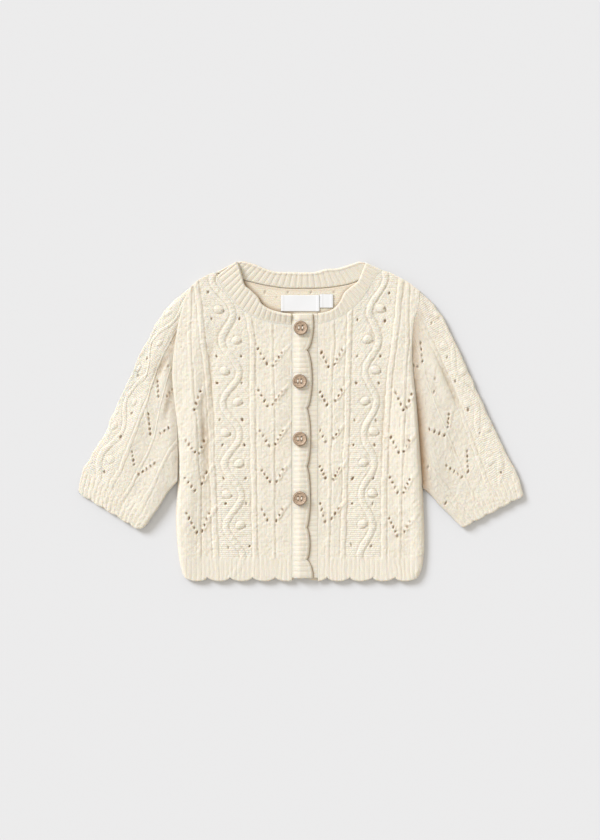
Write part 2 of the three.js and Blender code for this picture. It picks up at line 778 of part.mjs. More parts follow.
// A sleeve as one flattened tube between the armhole and the cuff: a patch over its outline,
// once above and once below.
function sleeveTube(name, toward, side, sleeve) {
  const outer = curveThrough(sleeve.outer);
  const inner = curveThrough(sleeve.inner);
  const wrist = { outer: outer.getPointAt(1), inner: inner.getPointAt(1) };
  const cuffWay = wrist.inner.clone().sub(wrist.outer);
  const cuffOut = new THREE.Vector2(toward * cuffWay.y, -toward * cuffWay.x).normalize();
  const armholeAt = (across) => {
    const y = mix(sleeve.outer[0].y, sleeve.inner[0].y, across);
    return new THREE.Vector2(toward * (read(side, "y", "out", y) + ARMHOLE_SEAM), y);
  };
  const cuffAt = (across) => {
    const arch = Math.sqrt(Math.abs(Math.sin(Math.PI * CUFF_SCALLOPS * across)));
    return wrist.outer.clone().lerp(wrist.inner, across).addScaledVector(cuffOut, CUFF_SCALLOP_DEPTH * arch);
  };
  const bulge = (curve, along) => {
    const straight = curve.getPointAt(0).lerp(curve.getPointAt(1), along);
    return curve.getPointAt(along).sub(straight);
  };
  const placeAt = (across, along) =>
    armholeAt(across)
      .lerp(cuffAt(across), along)
      .addScaledVector(bulge(outer, along), 1 - across)
      .addScaledVector(bulge(inner, along), across);

  const width = (along) => placeAt(0, along).distanceTo(placeAt(1, along));
  const lengthAt = (across) => armholeAt(across).distanceTo(cuffAt(across));
  const point = (across, along, z) => {
    const place = placeAt(across, along);
    return new THREE.Vector3(place.x, place.y, z);
  };
  const cuffRows = [0, EDGE_INSET, CUFF_RIB / 2, CUFF_RIB];
  const rowPlace = (row, across) => {
    const length = lengthAt(across);
    const bodyShare = (row - cuffRows.length + 1) / SLEEVE_ROWS;
    const fromCuff = cuffRows[row] ?? mix(CUFF_RIB, length, bodyShare);
    return { along: 1 - fromCuff / length, fromCuff };
  };
  const middle = FRONT_LEVEL - SEAM / 2;

  const outerRings = [];
  const ringCount = SLEEVE_ROWS + cuffRows.length;
  for (let row = 0; row < ringCount; row += 1) {
    const centre = rowPlace(row, 0.5);
    const across = width(centre.along);
    const lines = sleeveLines(across, centre.fromCuff);
    const ring = [point(0, rowPlace(row, 0).along, middle)];
    lines.forEach((line, place) => {
      const { along, fromCuff } = rowPlace(row, line.across);
      const fromFold = Math.min(line.across, 1 - line.across) * across - EDGE_INSET;
      const fade = clamp(fromFold / SLEEVE_FADE, 0, 1);
      const worked = fromCuff <= CUFF_RIB
        ? (place % 2) * BAND_RIB_RISE
        : line.rise + sleeveRelief(line.across, fromCuff, across);
      const atRim = row === 0 || row === ringCount - 1;
      ring.push(point(line.across, along, FRONT_LEVEL + CLOTH + (atRim ? -EDGE_DROP : worked * fade)));
    });
    ring.push(point(1, rowPlace(row, 1).along, middle));
    for (let line = 0; line <= SLEEVE_UNDER_LINES; line += 1) {
      const inset = EDGE_INSET / across;
      const under = mix(1 - inset, inset, line / SLEEVE_UNDER_LINES);
      ring.push(point(under, rowPlace(row, under).along, 0));
    }
    outerRings.push(ring);
  }

  const innerRings = [];
  for (let row = 0; row <= SLEEVE_INSIDE_ROWS; row += 1) {
    const along = 1 - row / SLEEVE_INSIDE_ROWS;
    const across = width(along);
    const wall = (CLOTH + SEAM) / across;
    const shoulder = wall + SEAM / across;
    const inside = (share) => mix(shoulder, 1 - shoulder, share);
    const ring = [point(wall, along, middle)];
    for (const line of sleeveLines(across, 0)) ring.push(point(inside(line.across), along, FRONT_LEVEL));
    ring.push(point(1 - wall, along, middle));
    for (let line = 0; line <= SLEEVE_UNDER_LINES; line += 1) {
      ring.push(point(inside(1 - line / SLEEVE_UNDER_LINES), along, CLOTH));
    }
    innerRings.push(ring);
  }
  return meshOf(name, facingOut(tubeGeometry(outerRings, innerRings)), cream);
}

// Buttons: a turned disc with a rim and a dished face, with four holes through it

async function buttonGeometry() {
  const wasm = await Module();
  wasm.setup();
  const face = BUTTON_HEIGHT - BUTTON_DISH;
  const profile = [
    [0, 0],
    [BUTTON_RADIUS - BUTTON_ROUNDING, 0],
    [BUTTON_RADIUS, BUTTON_HEIGHT / 2],
    [BUTTON_RADIUS - BUTTON_ROUNDING, BUTTON_HEIGHT],
    [BUTTON_RADIUS - BUTTON_ROUNDING - BUTTON_RIM, face],
    [0, face],
  ].map(([radius, height]) => new THREE.Vector2(radius, height));
  const disc = new THREE.LatheGeometry(profile, BUTTON_SIDES).rotateX(Math.PI / 2);
  const solidOf = (geometry) => {
    const bare = geometry.clone();
    bare.deleteAttribute("normal");
    bare.deleteAttribute("uv");
    const merged = mergeVertices(bare);
    return new wasm.Manifold(
      new wasm.Mesh({
        numProp: 3,
        vertProperties: new Float32Array(merged.attributes.position.array),
        triVerts: new Uint32Array(merged.index.array),
      }),
    );
  };
  let solid = solidOf(disc);
  for (const x of [-1, 1]) {
    for (const y of [-1, 1]) {
      const drill = new THREE.CylinderGeometry(
        BUTTON_HOLE_RADIUS,
        BUTTON_HOLE_RADIUS,
        3 * BUTTON_HEIGHT,
        BUTTON_HOLE_SIDES,
      );
      drill.rotateX(Math.PI / 2).translate(x * BUTTON_HOLE_SPACING, y * BUTTON_HOLE_SPACING, 0);
      solid = solid.subtract(solidOf(drill));
    }
  }
  const cut = solid.getMesh();
  const geometry = new THREE.BufferGeometry();
  geometry.setAttribute("position", new THREE.BufferAttribute(new Float32Array(cut.vertProperties), 3));
  geometry.setIndex(new THREE.BufferAttribute(new Uint32Array(cut.triVerts), 1));
  return geometry;
}

// Labels on the inside of the back, left bare

function label(name, size) {
  const shape = new THREE.Shape([
    new THREE.Vector2(size.left, size.bottom),
    new THREE.Vector2(size.right, size.bottom),
    new THREE.Vector2(size.right, size.top),
    new THREE.Vector2(size.left, size.top),
  ]);
  const tab = new THREE.ExtrudeGeometry(shape, { depth: LABEL_THICKNESS, bevelEnabled: false });
  return meshOf(name, tab.translate(0, 0, FRONT_LEVEL), satin);
}

// The whole cardigan

const garment = new THREE.Group();
garment.add(
  backPanel(),
  frontPanel("front_right", RIGHT_FRONT),
  frontPanel("front_left", LEFT_FRONT),
  sleeveTube("sleeve_right", -1, RIGHT_SIDE, RIGHT_SLEEVE),
  sleeveTube("sleeve_left", 1, LEFT_SIDE, LEFT_SLEEVE),
  lapBand(),
  underBand(),
  frontNeckband("neckband_right", RIGHT_FRONT, RIGHT_NECK_EDGE),
  frontNeckband("neckband_left", LEFT_FRONT, LEFT_NECK_EDGE),
  backNeckband(),
  label("label_main", MAIN_LABEL),
  label("label_size", SIZE_LABEL),
);
const turnedButton = await buttonGeometry();
BUTTONS.forEach((place, count) => {
  const button = meshOf(`button_${count + 1}`, turnedButton.clone(), wood);
  button.position.set(place.x, place.y, LAP_LEVEL + CLOTH + BAND_RIB_RISE + SEAM);
  garment.add(button);
});

const reach = new THREE.Box3().setFromObject(garment);
const centre = reach.getCenter(new THREE.Vector3());
garment.position.set(-centre.x, -centre.y, -reach.min.z);

export default new THREE.Group().add(garment);
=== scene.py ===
import math

import bpy
import numpy as np
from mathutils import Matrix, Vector


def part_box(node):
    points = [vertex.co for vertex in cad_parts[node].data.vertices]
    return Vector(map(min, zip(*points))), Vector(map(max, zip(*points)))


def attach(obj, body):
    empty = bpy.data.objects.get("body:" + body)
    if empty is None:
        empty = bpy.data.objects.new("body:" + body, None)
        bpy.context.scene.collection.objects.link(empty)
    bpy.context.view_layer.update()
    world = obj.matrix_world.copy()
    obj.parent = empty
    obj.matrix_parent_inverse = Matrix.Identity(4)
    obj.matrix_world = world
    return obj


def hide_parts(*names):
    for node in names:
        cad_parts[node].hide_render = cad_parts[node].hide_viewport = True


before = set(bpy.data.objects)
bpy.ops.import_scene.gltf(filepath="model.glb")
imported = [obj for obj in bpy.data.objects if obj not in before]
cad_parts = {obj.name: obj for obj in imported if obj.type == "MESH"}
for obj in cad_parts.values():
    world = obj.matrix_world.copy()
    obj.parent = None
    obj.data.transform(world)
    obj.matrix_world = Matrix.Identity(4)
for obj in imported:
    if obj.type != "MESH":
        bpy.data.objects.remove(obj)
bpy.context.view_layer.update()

# All shapes are worked out in millimetres on the garment: x is the distance from the button
# line, positive towards the wearer's left, y the height above the hem line and z the height
# above the table. MM and the place of the first button take them into the frame.

MM = 0.001
FIRST_BUTTON = (1.2, 252.2)
button_box = np.array(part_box("button_1"))
SHIFT = button_box.mean(axis=0)[:2] - np.array(FIRST_BUTTON) * MM

CLOTH = 2.6  # thickness of a knitted wall
SEAM = 0.3  # gap between pieces that lie on each other
FRONT_LEVEL = CLOTH + SEAM  # underside of what lies on the back
LAP_LEVEL = FRONT_LEVEL + CLOTH + SEAM  # underside of the band that laps over

WAVE = 61.5  # length of the travelling rope's wave
HEM_RIB = 23.0  # height of the ribbed hem, and length of the ribbed cuff
CUFF_RIB = 22.0
SCALLOP = 22.2  # width and depth of one scallop of the hem
SCALLOP_DEPTH = 4.5
HEM_BOTTOM = -0.5
RIB_PITCH = 5.6

STITCH_WIDE = 2.5
STITCH_HIGH = 2.0

FINE = 0.66  # spacing of the points of a front, and of the seam that follows its top
MEDIUM = 0.8

# Camera, straight above, as the photograph has it

PHOTO_TALL = 840.0
PHOTO_MIDDLE = (0.5, 160.5)
CAMERA_HIGH = 2.2
SENSOR = 36.0
camera_data = bpy.data.cameras.new("camera")
camera_data.sensor_width = SENSOR
camera_data.lens = SENSOR * CAMERA_HIGH / (PHOTO_TALL * MM)
camera = bpy.data.objects.new("camera", camera_data)
camera.location = (PHOTO_MIDDLE[0] * MM + SHIFT[0], PHOTO_MIDDLE[1] * MM + SHIFT[1], CAMERA_HIGH)
bpy.context.scene.collection.objects.link(camera)
bpy.context.scene.camera = camera

# Outlines, the same as the solids': columns are height and distance from the button line

RIGHT_SIDE = np.array([
    (0, 113), (8, 117), (18, 119.5), (32, 121.5), (64, 123.5), (97, 121.6),
    (150, 122), (207, 127), (251, 122), (280, 115), (292, 110)], float)
LEFT_SIDE = np.array([
    (0, 116), (10, 121.5), (24, 124), (45, 124.7), (94, 123), (137, 120),
    (184, 116.3), (220, 113), (255, 114), (278, 119.5), (289, 120)], float)

# Top edges: columns are distance from the button line and height, from the centre out

RIGHT_TOP = np.array([
    (7.5, 255.5), (24, 257), (38, 260.5), (50, 266), (60, 272.5), (67.6, 280.5),
    (78, 294), (82, 303), (84, 307.5), (94, 304), (102, 299.5), (110, 292)], float)
LEFT_TOP = np.array([
    (18.3, 256.5), (26, 258), (41, 263.5), (51, 270.5), (60, 278.7), (68, 290),
    (77, 304.5), (84, 309.5), (97, 304.2), (110, 297), (120, 289)], float)
NECK_CORNER = 84.0  # distance out of the corner between neck and shoulder

# Free edges of the neckband: columns are x and y

RIGHT_NECK_EDGE = np.array([
    (-63, 318.8), (-60, 313.5), (-57, 303), (-54.5, 295), (-49, 290.3), (-41.5, 283),
    (-37.6, 276.5), (-30, 271.4), (-18, 267.8), (-7.8, 266.5)], float)
LEFT_NECK_EDGE = np.array([
    (66, 318), (62.5, 309), (58.1, 299), (51, 293.3), (44.7, 287.5), (40.8, 279.5),
    (36, 273.5), (29, 269.2), (18.6, 267)], float)
BACK_NECK_SEAM = np.array([
    (-84, 307.5), (-70, 303.2), (-53, 299.2), (-34, 294.8), (-14, 291.9), (7, 291.6),
    (27, 292.3), (47, 295.3), (60, 299.6), (73, 304.3), (84, 309.5)], float)
BACK_NECK_EDGE = np.array([
    (-63, 318.8), (-55, 319), (-44, 316), (-27, 309.6), (-10, 308.6), (14, 308.6),
    (26, 311.6), (38, 312.4), (50, 316), (59, 318.8), (66, 318)], float)

# Sleeves: outer and inner folds, x and y from the body to the cuff

SLEEVE_OUTER = {
    "right": np.array([
        (-110.3, 292.3), (-124, 281), (-136, 268), (-148.5, 248), (-166.5, 210), (-189, 161),
        (-196.5, 143.5), (-209, 123), (-218, 107), (-222.3, 88)], float),
    "left": np.array([
        (120.3, 289.2), (131, 279), (139, 270), (157, 236), (178.6, 187.5), (191, 160),
        (199, 144), (210, 120), (219, 104), (224.5, 84.5)], float)}
SLEEVE_INNER = {
    "right": np.array([(-122.1, 99), (-131, 89), (-139, 76), (-148, 63.5), (-154.4, 53.6)], float),
    "left": np.array([(123.6, 92), (131.5, 85), (140, 75), (151, 64), (162.2, 52)], float)}

# Bands: heights of their ends, how far the lapping one reaches past the button line, the widths
# over which its underside and its top climb, and the arches of its edge (bottom, top, bulge)

BAND_BOTTOM = 2.6
BAND_TOP = 266.5
LAP_START = -7.45
LAP_REACH = 6.8
LAP_CLIMB = 3.2
LAP_EASE = 8.5
LAP_ARCHES = ((-13, 21, 6.6), (21, 53.4, 3.3), (53.4, 114.2, 3.8), (114.2, 172.3, 4.0),
              (172.3, 230.4, 5.6), (230.4, 284, 7.0))
UNDER_BAND = (-3.4, 18.25)


# Curves

def read(table, at):
    """Value of a table's second column at places in its first: a cubic between two rows
    whose slopes at the rows are those of the chord over both neighbours."""
    first, second = table.T
    last = len(first) - 1
    at = np.clip(at, first[0], first[-1])
    after = np.clip(np.searchsorted(first, at), 1, last)
    before = after - 1
    step = first[after] - first[before]
    share = (at - first[before]) / step

    def slope(low, high):
        return (second[high] - second[low]) / (first[high] - first[low])

    leave = slope(np.maximum(before - 1, 0), after) * step
    arrive = slope(before, np.minimum(after + 1, last)) * step
    fall = 1 - share
    return (second[before] * (1 + 2 * share) * fall ** 2 + second[after] * share ** 2 * (3 - 2 * share)
            + leave * share * fall ** 2 - arrive * share ** 2 * fall)


def through(points, steps=40):
    """A Catmull-Rom curve through points, as a line of many points."""
    ends = np.vstack([2 * points[0] - points[1], points, 2 * points[-1] - points[-2]])
    t = np.linspace(0, 1, steps, endpoint=False)[:, None]
    pieces = []
    for row in range(len(points) - 1):
        a, b, c, d = ends[row:row + 4]
        pieces.append(b + 0.5 * t * (c - a + t * (2 * a - 5 * b + 4 * c - d + t * (3 * (b - c) + d - a))))
    return np.vstack([*pieces, points[-1:]])


def at_share(line, share):
    """Points of a line of points at shares of its length."""
    lengths = np.concatenate([[0], np.cumsum(np.hypot(*np.diff(line, axis=0).T))])
    where = np.asarray(share) * lengths[-1]
    return np.stack([np.interp(where, lengths, line[:, 0]), np.interp(where, lengths, line[:, 1])], axis=-1)


def moved_aside(line, distance):
    """A line of points moved sideways, to the left of its way, by a distance."""
    way = np.gradient(line, axis=0)
    way /= np.maximum(np.linalg.norm(way, axis=1, keepdims=True), 1e-9)
    return line + distance * np.stack([-way[:, 1], way[:, 0]], axis=1)


OUTLINE_LUMP = 0.8
OUTLINE_CALM = 0.12


def lumpy(line):
    """A line of points made a little uneven sideways, but not at its ends."""
    share = np.linspace(0, 1, len(line))
    calm = smooth_step(0, OUTLINE_CALM, share) * smooth_step(0, OUTLINE_CALM, 1 - share)
    return moved_aside(line, (OUTLINE_LUMP * calm * uneven(line[:, 0], line[:, 1], 8, 31))[:, None])


def smooth_step(low, high, value):
    """0 below low, 1 above high, and a smooth S between them."""
    share = np.clip((value - low) / (high - low), 0, 1)
    return share * share * (3 - 2 * share)


def hump(distance, half):
    """1 at a line and 0 at half a width from it, between half an ellipse and a parabola."""
    return np.clip(1 - (distance / half) ** 2, 0, 1) ** 0.8


LATTICE = 420
LATTICE_START = (205, 80)


def uneven(x, y, size, seed):
    """Smooth unevenness between -1 and 1: seeded random heights on a square lattice of the given
    size, joined by smooth steps."""
    lattice = np.random.default_rng(seed).uniform(-1, 1, (LATTICE, LATTICE))
    across, up = x / size + LATTICE_START[0], y / size + LATTICE_START[1]
    column, row = np.floor(across).astype(int), np.floor(up).astype(int)
    across, up = smooth_step(0, 1, across - column), smooth_step(0, 1, up - row)
    low = lattice[row, column] * (1 - across) + lattice[row, column + 1] * across
    high = lattice[row + 1, column] * (1 - across) + lattice[row + 1, column + 1] * across
    return low * (1 - up) + high * up


def uneven_sum(x, y, table):
    """Unevenness of several sizes together. The columns are height, size and seed."""
    return sum(height * uneven(x, y, size, seed) for height, size, seed in table)


def bell(distance, width):
    """A soft bell, 1 in the middle, that has fallen to 0.37 at a width from it."""
    return np.exp(-(distance / width) ** 2)


def segment_distance(x, y, x0, y0, x1, y1):
    """Distance of places from a straight segment, and the share along it of the nearest point."""
    along_x, along_y = x1 - x0, y1 - y0
    share = np.clip(((x - x0) * along_x + (y - y0) * along_y) / (along_x ** 2 + along_y ** 2), 0, 1)
    return np.hypot(x - x0 - share * along_x, y - y0 - share * along_y), share


NEAR_LINE = 12.0


def line_distance(x, y, line):
    """Distance of places from a line of points, to the nearest of every fourth of its points, for
    places near the line's box; farther ones count as NEAR_LINE away."""
    away = np.full(x.shape, NEAR_LINE)
    low, high = line.min(axis=0) - NEAR_LINE, line.max(axis=0) + NEAR_LINE
    near = (x > low[0]) & (x < high[0]) & (y > low[1]) & (y < high[1])
    places = np.stack([x[near], y[near]], axis=-1)
    away[near] = np.min(np.hypot(*(places[:, None] - line[None, ::4]).transpose(2, 0, 1)), axis=1)
    return away


# Meshes

def put(name, points, loops, sizes, flags=None):
    """A mesh object from points in garment millimetres and faces as flat corner lists, with
    one float attribute for each named flag."""
    placed = points * MM
    placed[:, 0] += SHIFT[0]
    placed[:, 1] += SHIFT[1]
    mesh = bpy.data.meshes.new(name)
    mesh.vertices.add(len(placed))
    mesh.vertices.foreach_set("co", placed.astype(np.float32).ravel())
    mesh.loops.add(len(loops))
    mesh.loops.foreach_set("vertex_index", loops.astype(np.int32))
    mesh.polygons.add(len(sizes))
    starts = np.concatenate([[0], np.cumsum(sizes)[:-1]])
    mesh.polygons.foreach_set("loop_start", starts.astype(np.int32))
    mesh.polygons.foreach_set("use_smooth", np.ones(len(sizes), bool))
    mesh.update(calc_edges=True)
    for key, values in (flags or {}).items():
        if key == "uv":
            layer = mesh.uv_layers.new(name="cloth")
            layer.data.foreach_set("uv", values[loops].astype(np.float32).ravel())
        else:
            mesh.attributes.new(key, "FLOAT", "POINT").data.foreach_set("value", values.astype(np.float32))
    mesh.validate()
    thing = bpy.data.objects.new(name, mesh)
    bpy.context.scene.collection.objects.link(thing)
    return thing


def quads(low, high, closed=False):
    """Faces between two equally long lines of point numbers, as rows of four corners."""
    if closed:
        return np.stack([low, np.roll(low, -1), np.roll(high, -1), high], axis=-1)
    return np.stack([low[..., :-1], low[..., 1:], high[..., 1:], high[..., :-1]], axis=-1)


EDGE_SHARE = 0.05


def edged(grid, axes=(0, 1)):
    """A grid with one more line close to each border, a twentieth of a cell from it, so that the
    turn from a face to the wall beside it stays narrow."""
    for axis in axes:
        first, second, before, last = (np.take(grid, [place], axis) for place in (0, 1, -2, -1))
        within = np.take(grid, np.arange(1, grid.shape[axis] - 1), axis)
        grid = np.concatenate([first, first + EDGE_SHARE * (second - first), within,
                               last - EDGE_SHARE * (last - before), last], axis)
    return grid


def facing_out(points, faces):
    """Faces of a closed shell, turned round where the volume that they enclose comes out negative:
    the sum over the faces of each corner's cross product with the next, times the third."""
    corners = points[faces[:, :3]]
    volume = np.sum(np.cross(corners[:, 0], corners[:, 1]) * corners[:, 2])
    return faces[:, ::-1] if volume < 0 else faces


def wall(name, x, y, top, under, uv, flags=None):
    """A closed wall: a worked upper face over an under face. All are grids of rows from the hem
    up; where the under face is one height it is a single flat face, otherwise a grid as well."""
    x, y, top = edged(x), edged(y), edged(top)
    rows, columns = x.shape
    number = np.arange(rows * columns).reshape(rows, columns)
    upper = np.stack([x, y, top], axis=-1).reshape(-1, 3)
    faces = quads(number[:-1], number[1:]).reshape(-1, 4)
    rim = np.concatenate([number[0], number[1:, -1], number[-1, -2::-1], number[-2:0:-1, 0]])
    rim_x, rim_y = upper[rim, 0], upper[rim, 1]
    turning = np.sum(rim_x * np.roll(rim_y, -1) - np.roll(rim_x, -1) * rim_y)

    flat = np.isscalar(under)
    doubled = rim if flat else number.ravel()
    lower = upper[doubled]
    lower[:, 2] = under if flat else edged(under).ravel()
    data = {"uv": edged(uv).reshape(-1, 2)}
    data.update({key: edged(value).ravel() for key, value in (flags or {}).items()})
    data = {key: np.concatenate([value, value[doubled]]) for key, value in data.items()}
    low_rim = number.size + (np.arange(len(rim)) if flat else rim)
    if not flat:
        faces = np.vstack([faces, faces[:, ::-1] + number.size])
    faces = np.vstack([faces, quads(low_rim, rim, closed=True)])
    if turning < 0:
        faces = faces[:, ::-1]
    loops, sizes = faces.ravel(), np.full(len(faces), 4)
    if flat:
        loops = np.concatenate([loops, low_rim[::-1] if turning > 0 else low_rim])
        sizes = np.append(sizes, len(low_rim))
    return put(name, np.vstack([upper, lower]), loops, sizes, data)


def tube(name, outer, inner, uv, flags):
    """A closed shell of an open tube: outer rings, inner rings of as many points and a rim at each
    end. Both run from one end to the other."""
    outer, inner, uv = (edged(grid, (0,)) for grid in (outer, inner, uv))
    rings, count = outer.shape[:2]
    number = np.arange(rings * count).reshape(rings, count)
    inside = number.size + np.arange(inner.shape[0] * count).reshape(-1, count)
    faces = [quads(number[row], number[row + 1], closed=True) for row in range(rings - 1)]
    faces += [quads(inside[row + 1], inside[row], closed=True) for row in range(len(inside) - 1)]
    faces += [quads(inside[0], number[0], closed=True), quads(number[-1], inside[-1], closed=True)]
    points = np.vstack([outer.reshape(-1, 3), inner.reshape(-1, 3)])
    faces = facing_out(points, np.vstack(faces))
    data = {"uv": np.vstack([uv.reshape(-1, 2), np.zeros((inside.size, 2))])}
    for key, value in flags.items():
        data[key] = np.concatenate([edged(value, (0,)).ravel(), np.zeros(inside.size)])
    return put(name, points, faces.ravel(), np.full(len(faces), 4), data)


def blurred(grid, reach):
    """A grid averaged over a square window that reaches so many cells each way, twice."""
    for _ in range(2):
        for axis in (0, 1):
            padded = np.concatenate([np.repeat(np.take(grid, [0], axis), reach + 1, axis), grid,
                                     np.repeat(np.take(grid, [-1], axis), reach, axis)], axis)
            total = np.cumsum(padded, axis)
            size = grid.shape[axis]
            grid = (np.take(total, np.arange(2 * reach + 1, 2 * reach + 1 + size), axis)
                    - np.take(total, np.arange(size), axis)) / (2 * reach + 1)
    return grid


def rounded(distance, reach):
    """How much lower a wall is near its edge: a quarter circle of the given reach."""
    near = np.clip(1 - distance / reach, 0, 1)
    return 1 - np.sqrt(1 - near ** 2)


# Knit relief. Every part of it is a height in millimetres over a place on the garment.

EYELET_WIDE = 1.15
EYELET_HIGH = 1.6
EYELET_DEEP = 2.2
EYELET_BOX = 4  # an eyelet is worked out this far from its middle


def eyelets(x, y, places):
    """How deep in an eyelet each place is, 0 to 1: the largest of flat-bottomed ovals, whose sizes
    and leans differ a little, as the pull on each stitch does."""
    inside = np.zeros(x.shape)
    pull = np.random.default_rng(len(places)).uniform(-1, 1, (len(places), 4))
    for (centre_x, centre_y), (wide, high, lean, depth) in zip(places, pull):
        rows, columns = np.nonzero((abs(x - centre_x) < EYELET_BOX) & (abs(y - centre_y) < EYELET_BOX))
        along = y[rows, columns] - centre_y
        across = x[rows, columns] - centre_x - 0.35 * lean * along
        reach = ((across / (EYELET_WIDE * (1 + 0.22 * wide))) ** 2
                 + (along / (EYELET_HIGH * (1 + 0.25 * high))) ** 2)
        inside[rows, columns] = np.maximum(inside[rows, columns], (0.75 + 0.25 * depth) * np.exp(-reach ** 2))
    return inside


def arm_places(arms):
    """Places of the eyelets of lace arms, evenly spaced between the two ends of each arm.
    The columns of the table are x and y of the first, x and y of the last, and how many."""
    return [(x0 + (x1 - x0) * step / (count - 1), y0 + (y1 - y0) * step / (count - 1))
            for x0, y0, x1, y1, count in arms for step in range(count)]


BRANCH_RISE = 0.75
BRANCH_HALF = 2.1
BRANCH_LIFT = 1.1  # how much higher than its arm a branch is, for each millimetre aside


def branches(x, y, arms, aside):
    """Slanting stitches beside lace arms: ridges along the arms, moved towards the start of each by
    a distance in x and up a little more, and drawn in again at the far end."""
    relief = np.zeros(x.shape)
    for x0, y0, x1, y1, _ in arms:
        shift = aside * (1 if x1 < x0 else -1)
        lift = abs(aside) * BRANCH_LIFT
        away, share = segment_distance(x, y, x0 + shift, y0 + lift, x1 + shift * 0.4, y1 + lift * 0.6)
        ridge = BRANCH_RISE * hump(away, BRANCH_HALF)
        relief = np.maximum(relief, ridge * smooth_step(-0.05, 0.2, share + 0.1))
    return relief


BEAD = 0.12
BEAD_LONG = 1.5 * STITCH_HIGH


def beaded(along):
    """Stitches along a ridge: a wave between 0.76 and 1 whose length is that of a row and a half."""
    return 1 - BEAD + BEAD * np.cos(2 * np.pi * along / BEAD_LONG)


RIB_RISE = 0.62
RIB_PARTING = 0.16
RIB_GROOVE = 0.38


def broad_rib(away, half, along):
    """A raised rib of two wales: one low round back with a faint groove in its middle, and a deeper
    groove along each side."""
    back = hump(away, half) - RIB_PARTING * bell(away, 0.5)
    return RIB_RISE * beaded(along) * back - RIB_GROOVE * bell(abs(away) - half - 0.4, 0.8)


LACE_RISE = 0.34
LACE_GROOVE = 0.42


def lace_wale(away, toward, half):
    """A low wale in the middle of the lace, with a groove along its side away from the light. The
    distance is from the groove, and toward is 1 or -1, the way in which the distance grows."""
    return LACE_RISE * hump(away + toward * (half + 0.5), half) - LACE_GROOVE * bell(away, 0.75)


ROPE_RISE = 0.64
ROPE_TWIST = 0.13
ROPE_LAY = (4.2, 6.0)  # length of one twist along the rope, and across it
ROPE_GROOVE = 0.34


def rope(away, slope, half, along):
    """A travelling rope: one round ridge with a slight twist and a groove along both sides.
    The distance is shortened where the rope slants."""
    away = away / np.sqrt(1 + slope ** 2)
    twist = ROPE_TWIST * np.cos(2 * np.pi * (along / ROPE_LAY[0] + away / ROPE_LAY[1]))
    return (ROPE_RISE + twist) * hump(away, half) - ROPE_GROOVE * bell(abs(away) - half - 0.5, 1.0)


BOBBLE_RISE = 1.15
BOBBLE_HALF = (4.7, 4.1)  # half its width and half its height
BOBBLE_UNDER = 0.45  # depth of the groove under it, and of the one all round
BOBBLE_RING = 0.3


def bobble(x, y, centre_x, centre_y, turn):
    """A small round knot of stitches, a little wider than tall, with a groove round it that is
    deepest under it. A turn of 1 or -1 leans it towards that side."""
    dx, dy = x - centre_x, y - centre_y
    reach = (dx / BOBBLE_HALF[0]) ** 2 + ((dy - 0.15 * turn * dx) / BOBBLE_HALF[1]) ** 2
    knot = BOBBLE_RISE * np.clip(1 - reach, 0, 1) ** 0.75
    under = ((dx - turn * 1.2) / 3.8) ** 2 + ((dy + 4.4) / 1.0) ** 2
    return knot - BOBBLE_UNDER * np.exp(-under) - BOBBLE_RING * bell(np.sqrt(reach) - 1.12, 0.14)


def ribbing(place, pitch, depth):
    """Ribs of equal width: round wales with narrow grooves between them."""
    return depth * (abs(np.cos(np.pi * place / pitch)) ** 0.7 - 0.45)


def creases(x, y, table):
    """Soft folds: round-backed ridges or valleys along straight lines, fading at both ends. The
    columns are x and y of one end, x and y of the other, width and height."""
    relief = np.zeros(x.shape)
    for x0, y0, x1, y1, width, height in table:
        away, share = segment_distance(x, y, x0, y0, x1, y1)
        relief += height * bell(away, width) * (0.35 + 0.65 * np.sin(np.pi * np.clip(share, 0, 1)))
    return relief


# The knit materials paint shade into the hollows by this value.
def finish_relief(relief, reach, folds=None):
    """How far each place of a grid lies below what is near it, 0.5 for level with it: the fine
    relief over a short reach, and soft folds over one four times as long."""
    below = 0.7 * (blurred(relief, reach) - relief)
    if folds is not None:
        below += 0.48 * (blurred(folds, 4 * reach) - folds)
    return np.clip(0.5 + below, 0, 1)


# Fronts

CENTRE_BOW = 0.3
FRONT_HEIGHT = 256.0
FRONT_TOP_ABOUT = 260.0  # where the search for the top of each line starts, and how long it goes on
GRID_ROUNDS = 60

# Raised columns: how far out each is at the hem rib, the waist, the chest, the yoke and the top
# edge. Heights of the first four are in COLUMN_AT. Ribs and ropes are given by their middle and
# lace wales by the groove beside them.

COLUMN_AT = (23.0, 105.0, 175.0, 240.0)
RIB_HALF = 2.7
RIB_OUT_HALF = 2.8
ROPE_HALF = 3.1
LACE_HALF = 1.9
RIB_FOOT = (3.0, 4.4)  # distances from a rib's middle between which the purl ground starts
BRANCH_ASIDE = (3.2, 7.2)  # of the near and the far branches from their arms
FAR_BRANCH = 0.6
BOBBLES = 8
BOBBLE_ASIDE = 0.8  # from the rope's middle line, as a share of its swing
BOBBLE_UP = 1.5
BOBBLE_SHADE_PIT = (5.2, -0.4)  # place of the pit beside a bobble, and its depth; the pit is painted brown as shade
BOBBLE_SHADE_PIT_DEEP = 0.45
PURL_SINK = 0.25
HEM_RIB_PITCH = RIB_PITCH * 0.8
HEM_RIB_DEPTH = 0.34

# Unevenness, as height or share, size and seed: sideways wander of the columns, thickness of the
# yarn, and wander and strength of the hem's ribs

FRONT_WANDER = ((0.45, 7, 3), (0.9, 30, 4))
FRONT_YARN = ((0.22, 2.4, 11), (0.16, 1.25, 12), (0.25, 9, 13))
HEM_WANDER = ((0.8, 9, 8),)
HEM_STRENGTH = ((0.5, 11, 9),)

# Rounded edges of a front: how deep each falls and over what reach. The side falls by the tuck.

SIDE_REACH = 3.4
TOP_FALL = (0.12, 1.6)
HEM_FALL = (1.0, 1.7)
CENTRE_FALL = (0.08, 1.4)
TOP_SLANT = 0.8  # distance from the sloping top edge for each millimetre of height below it
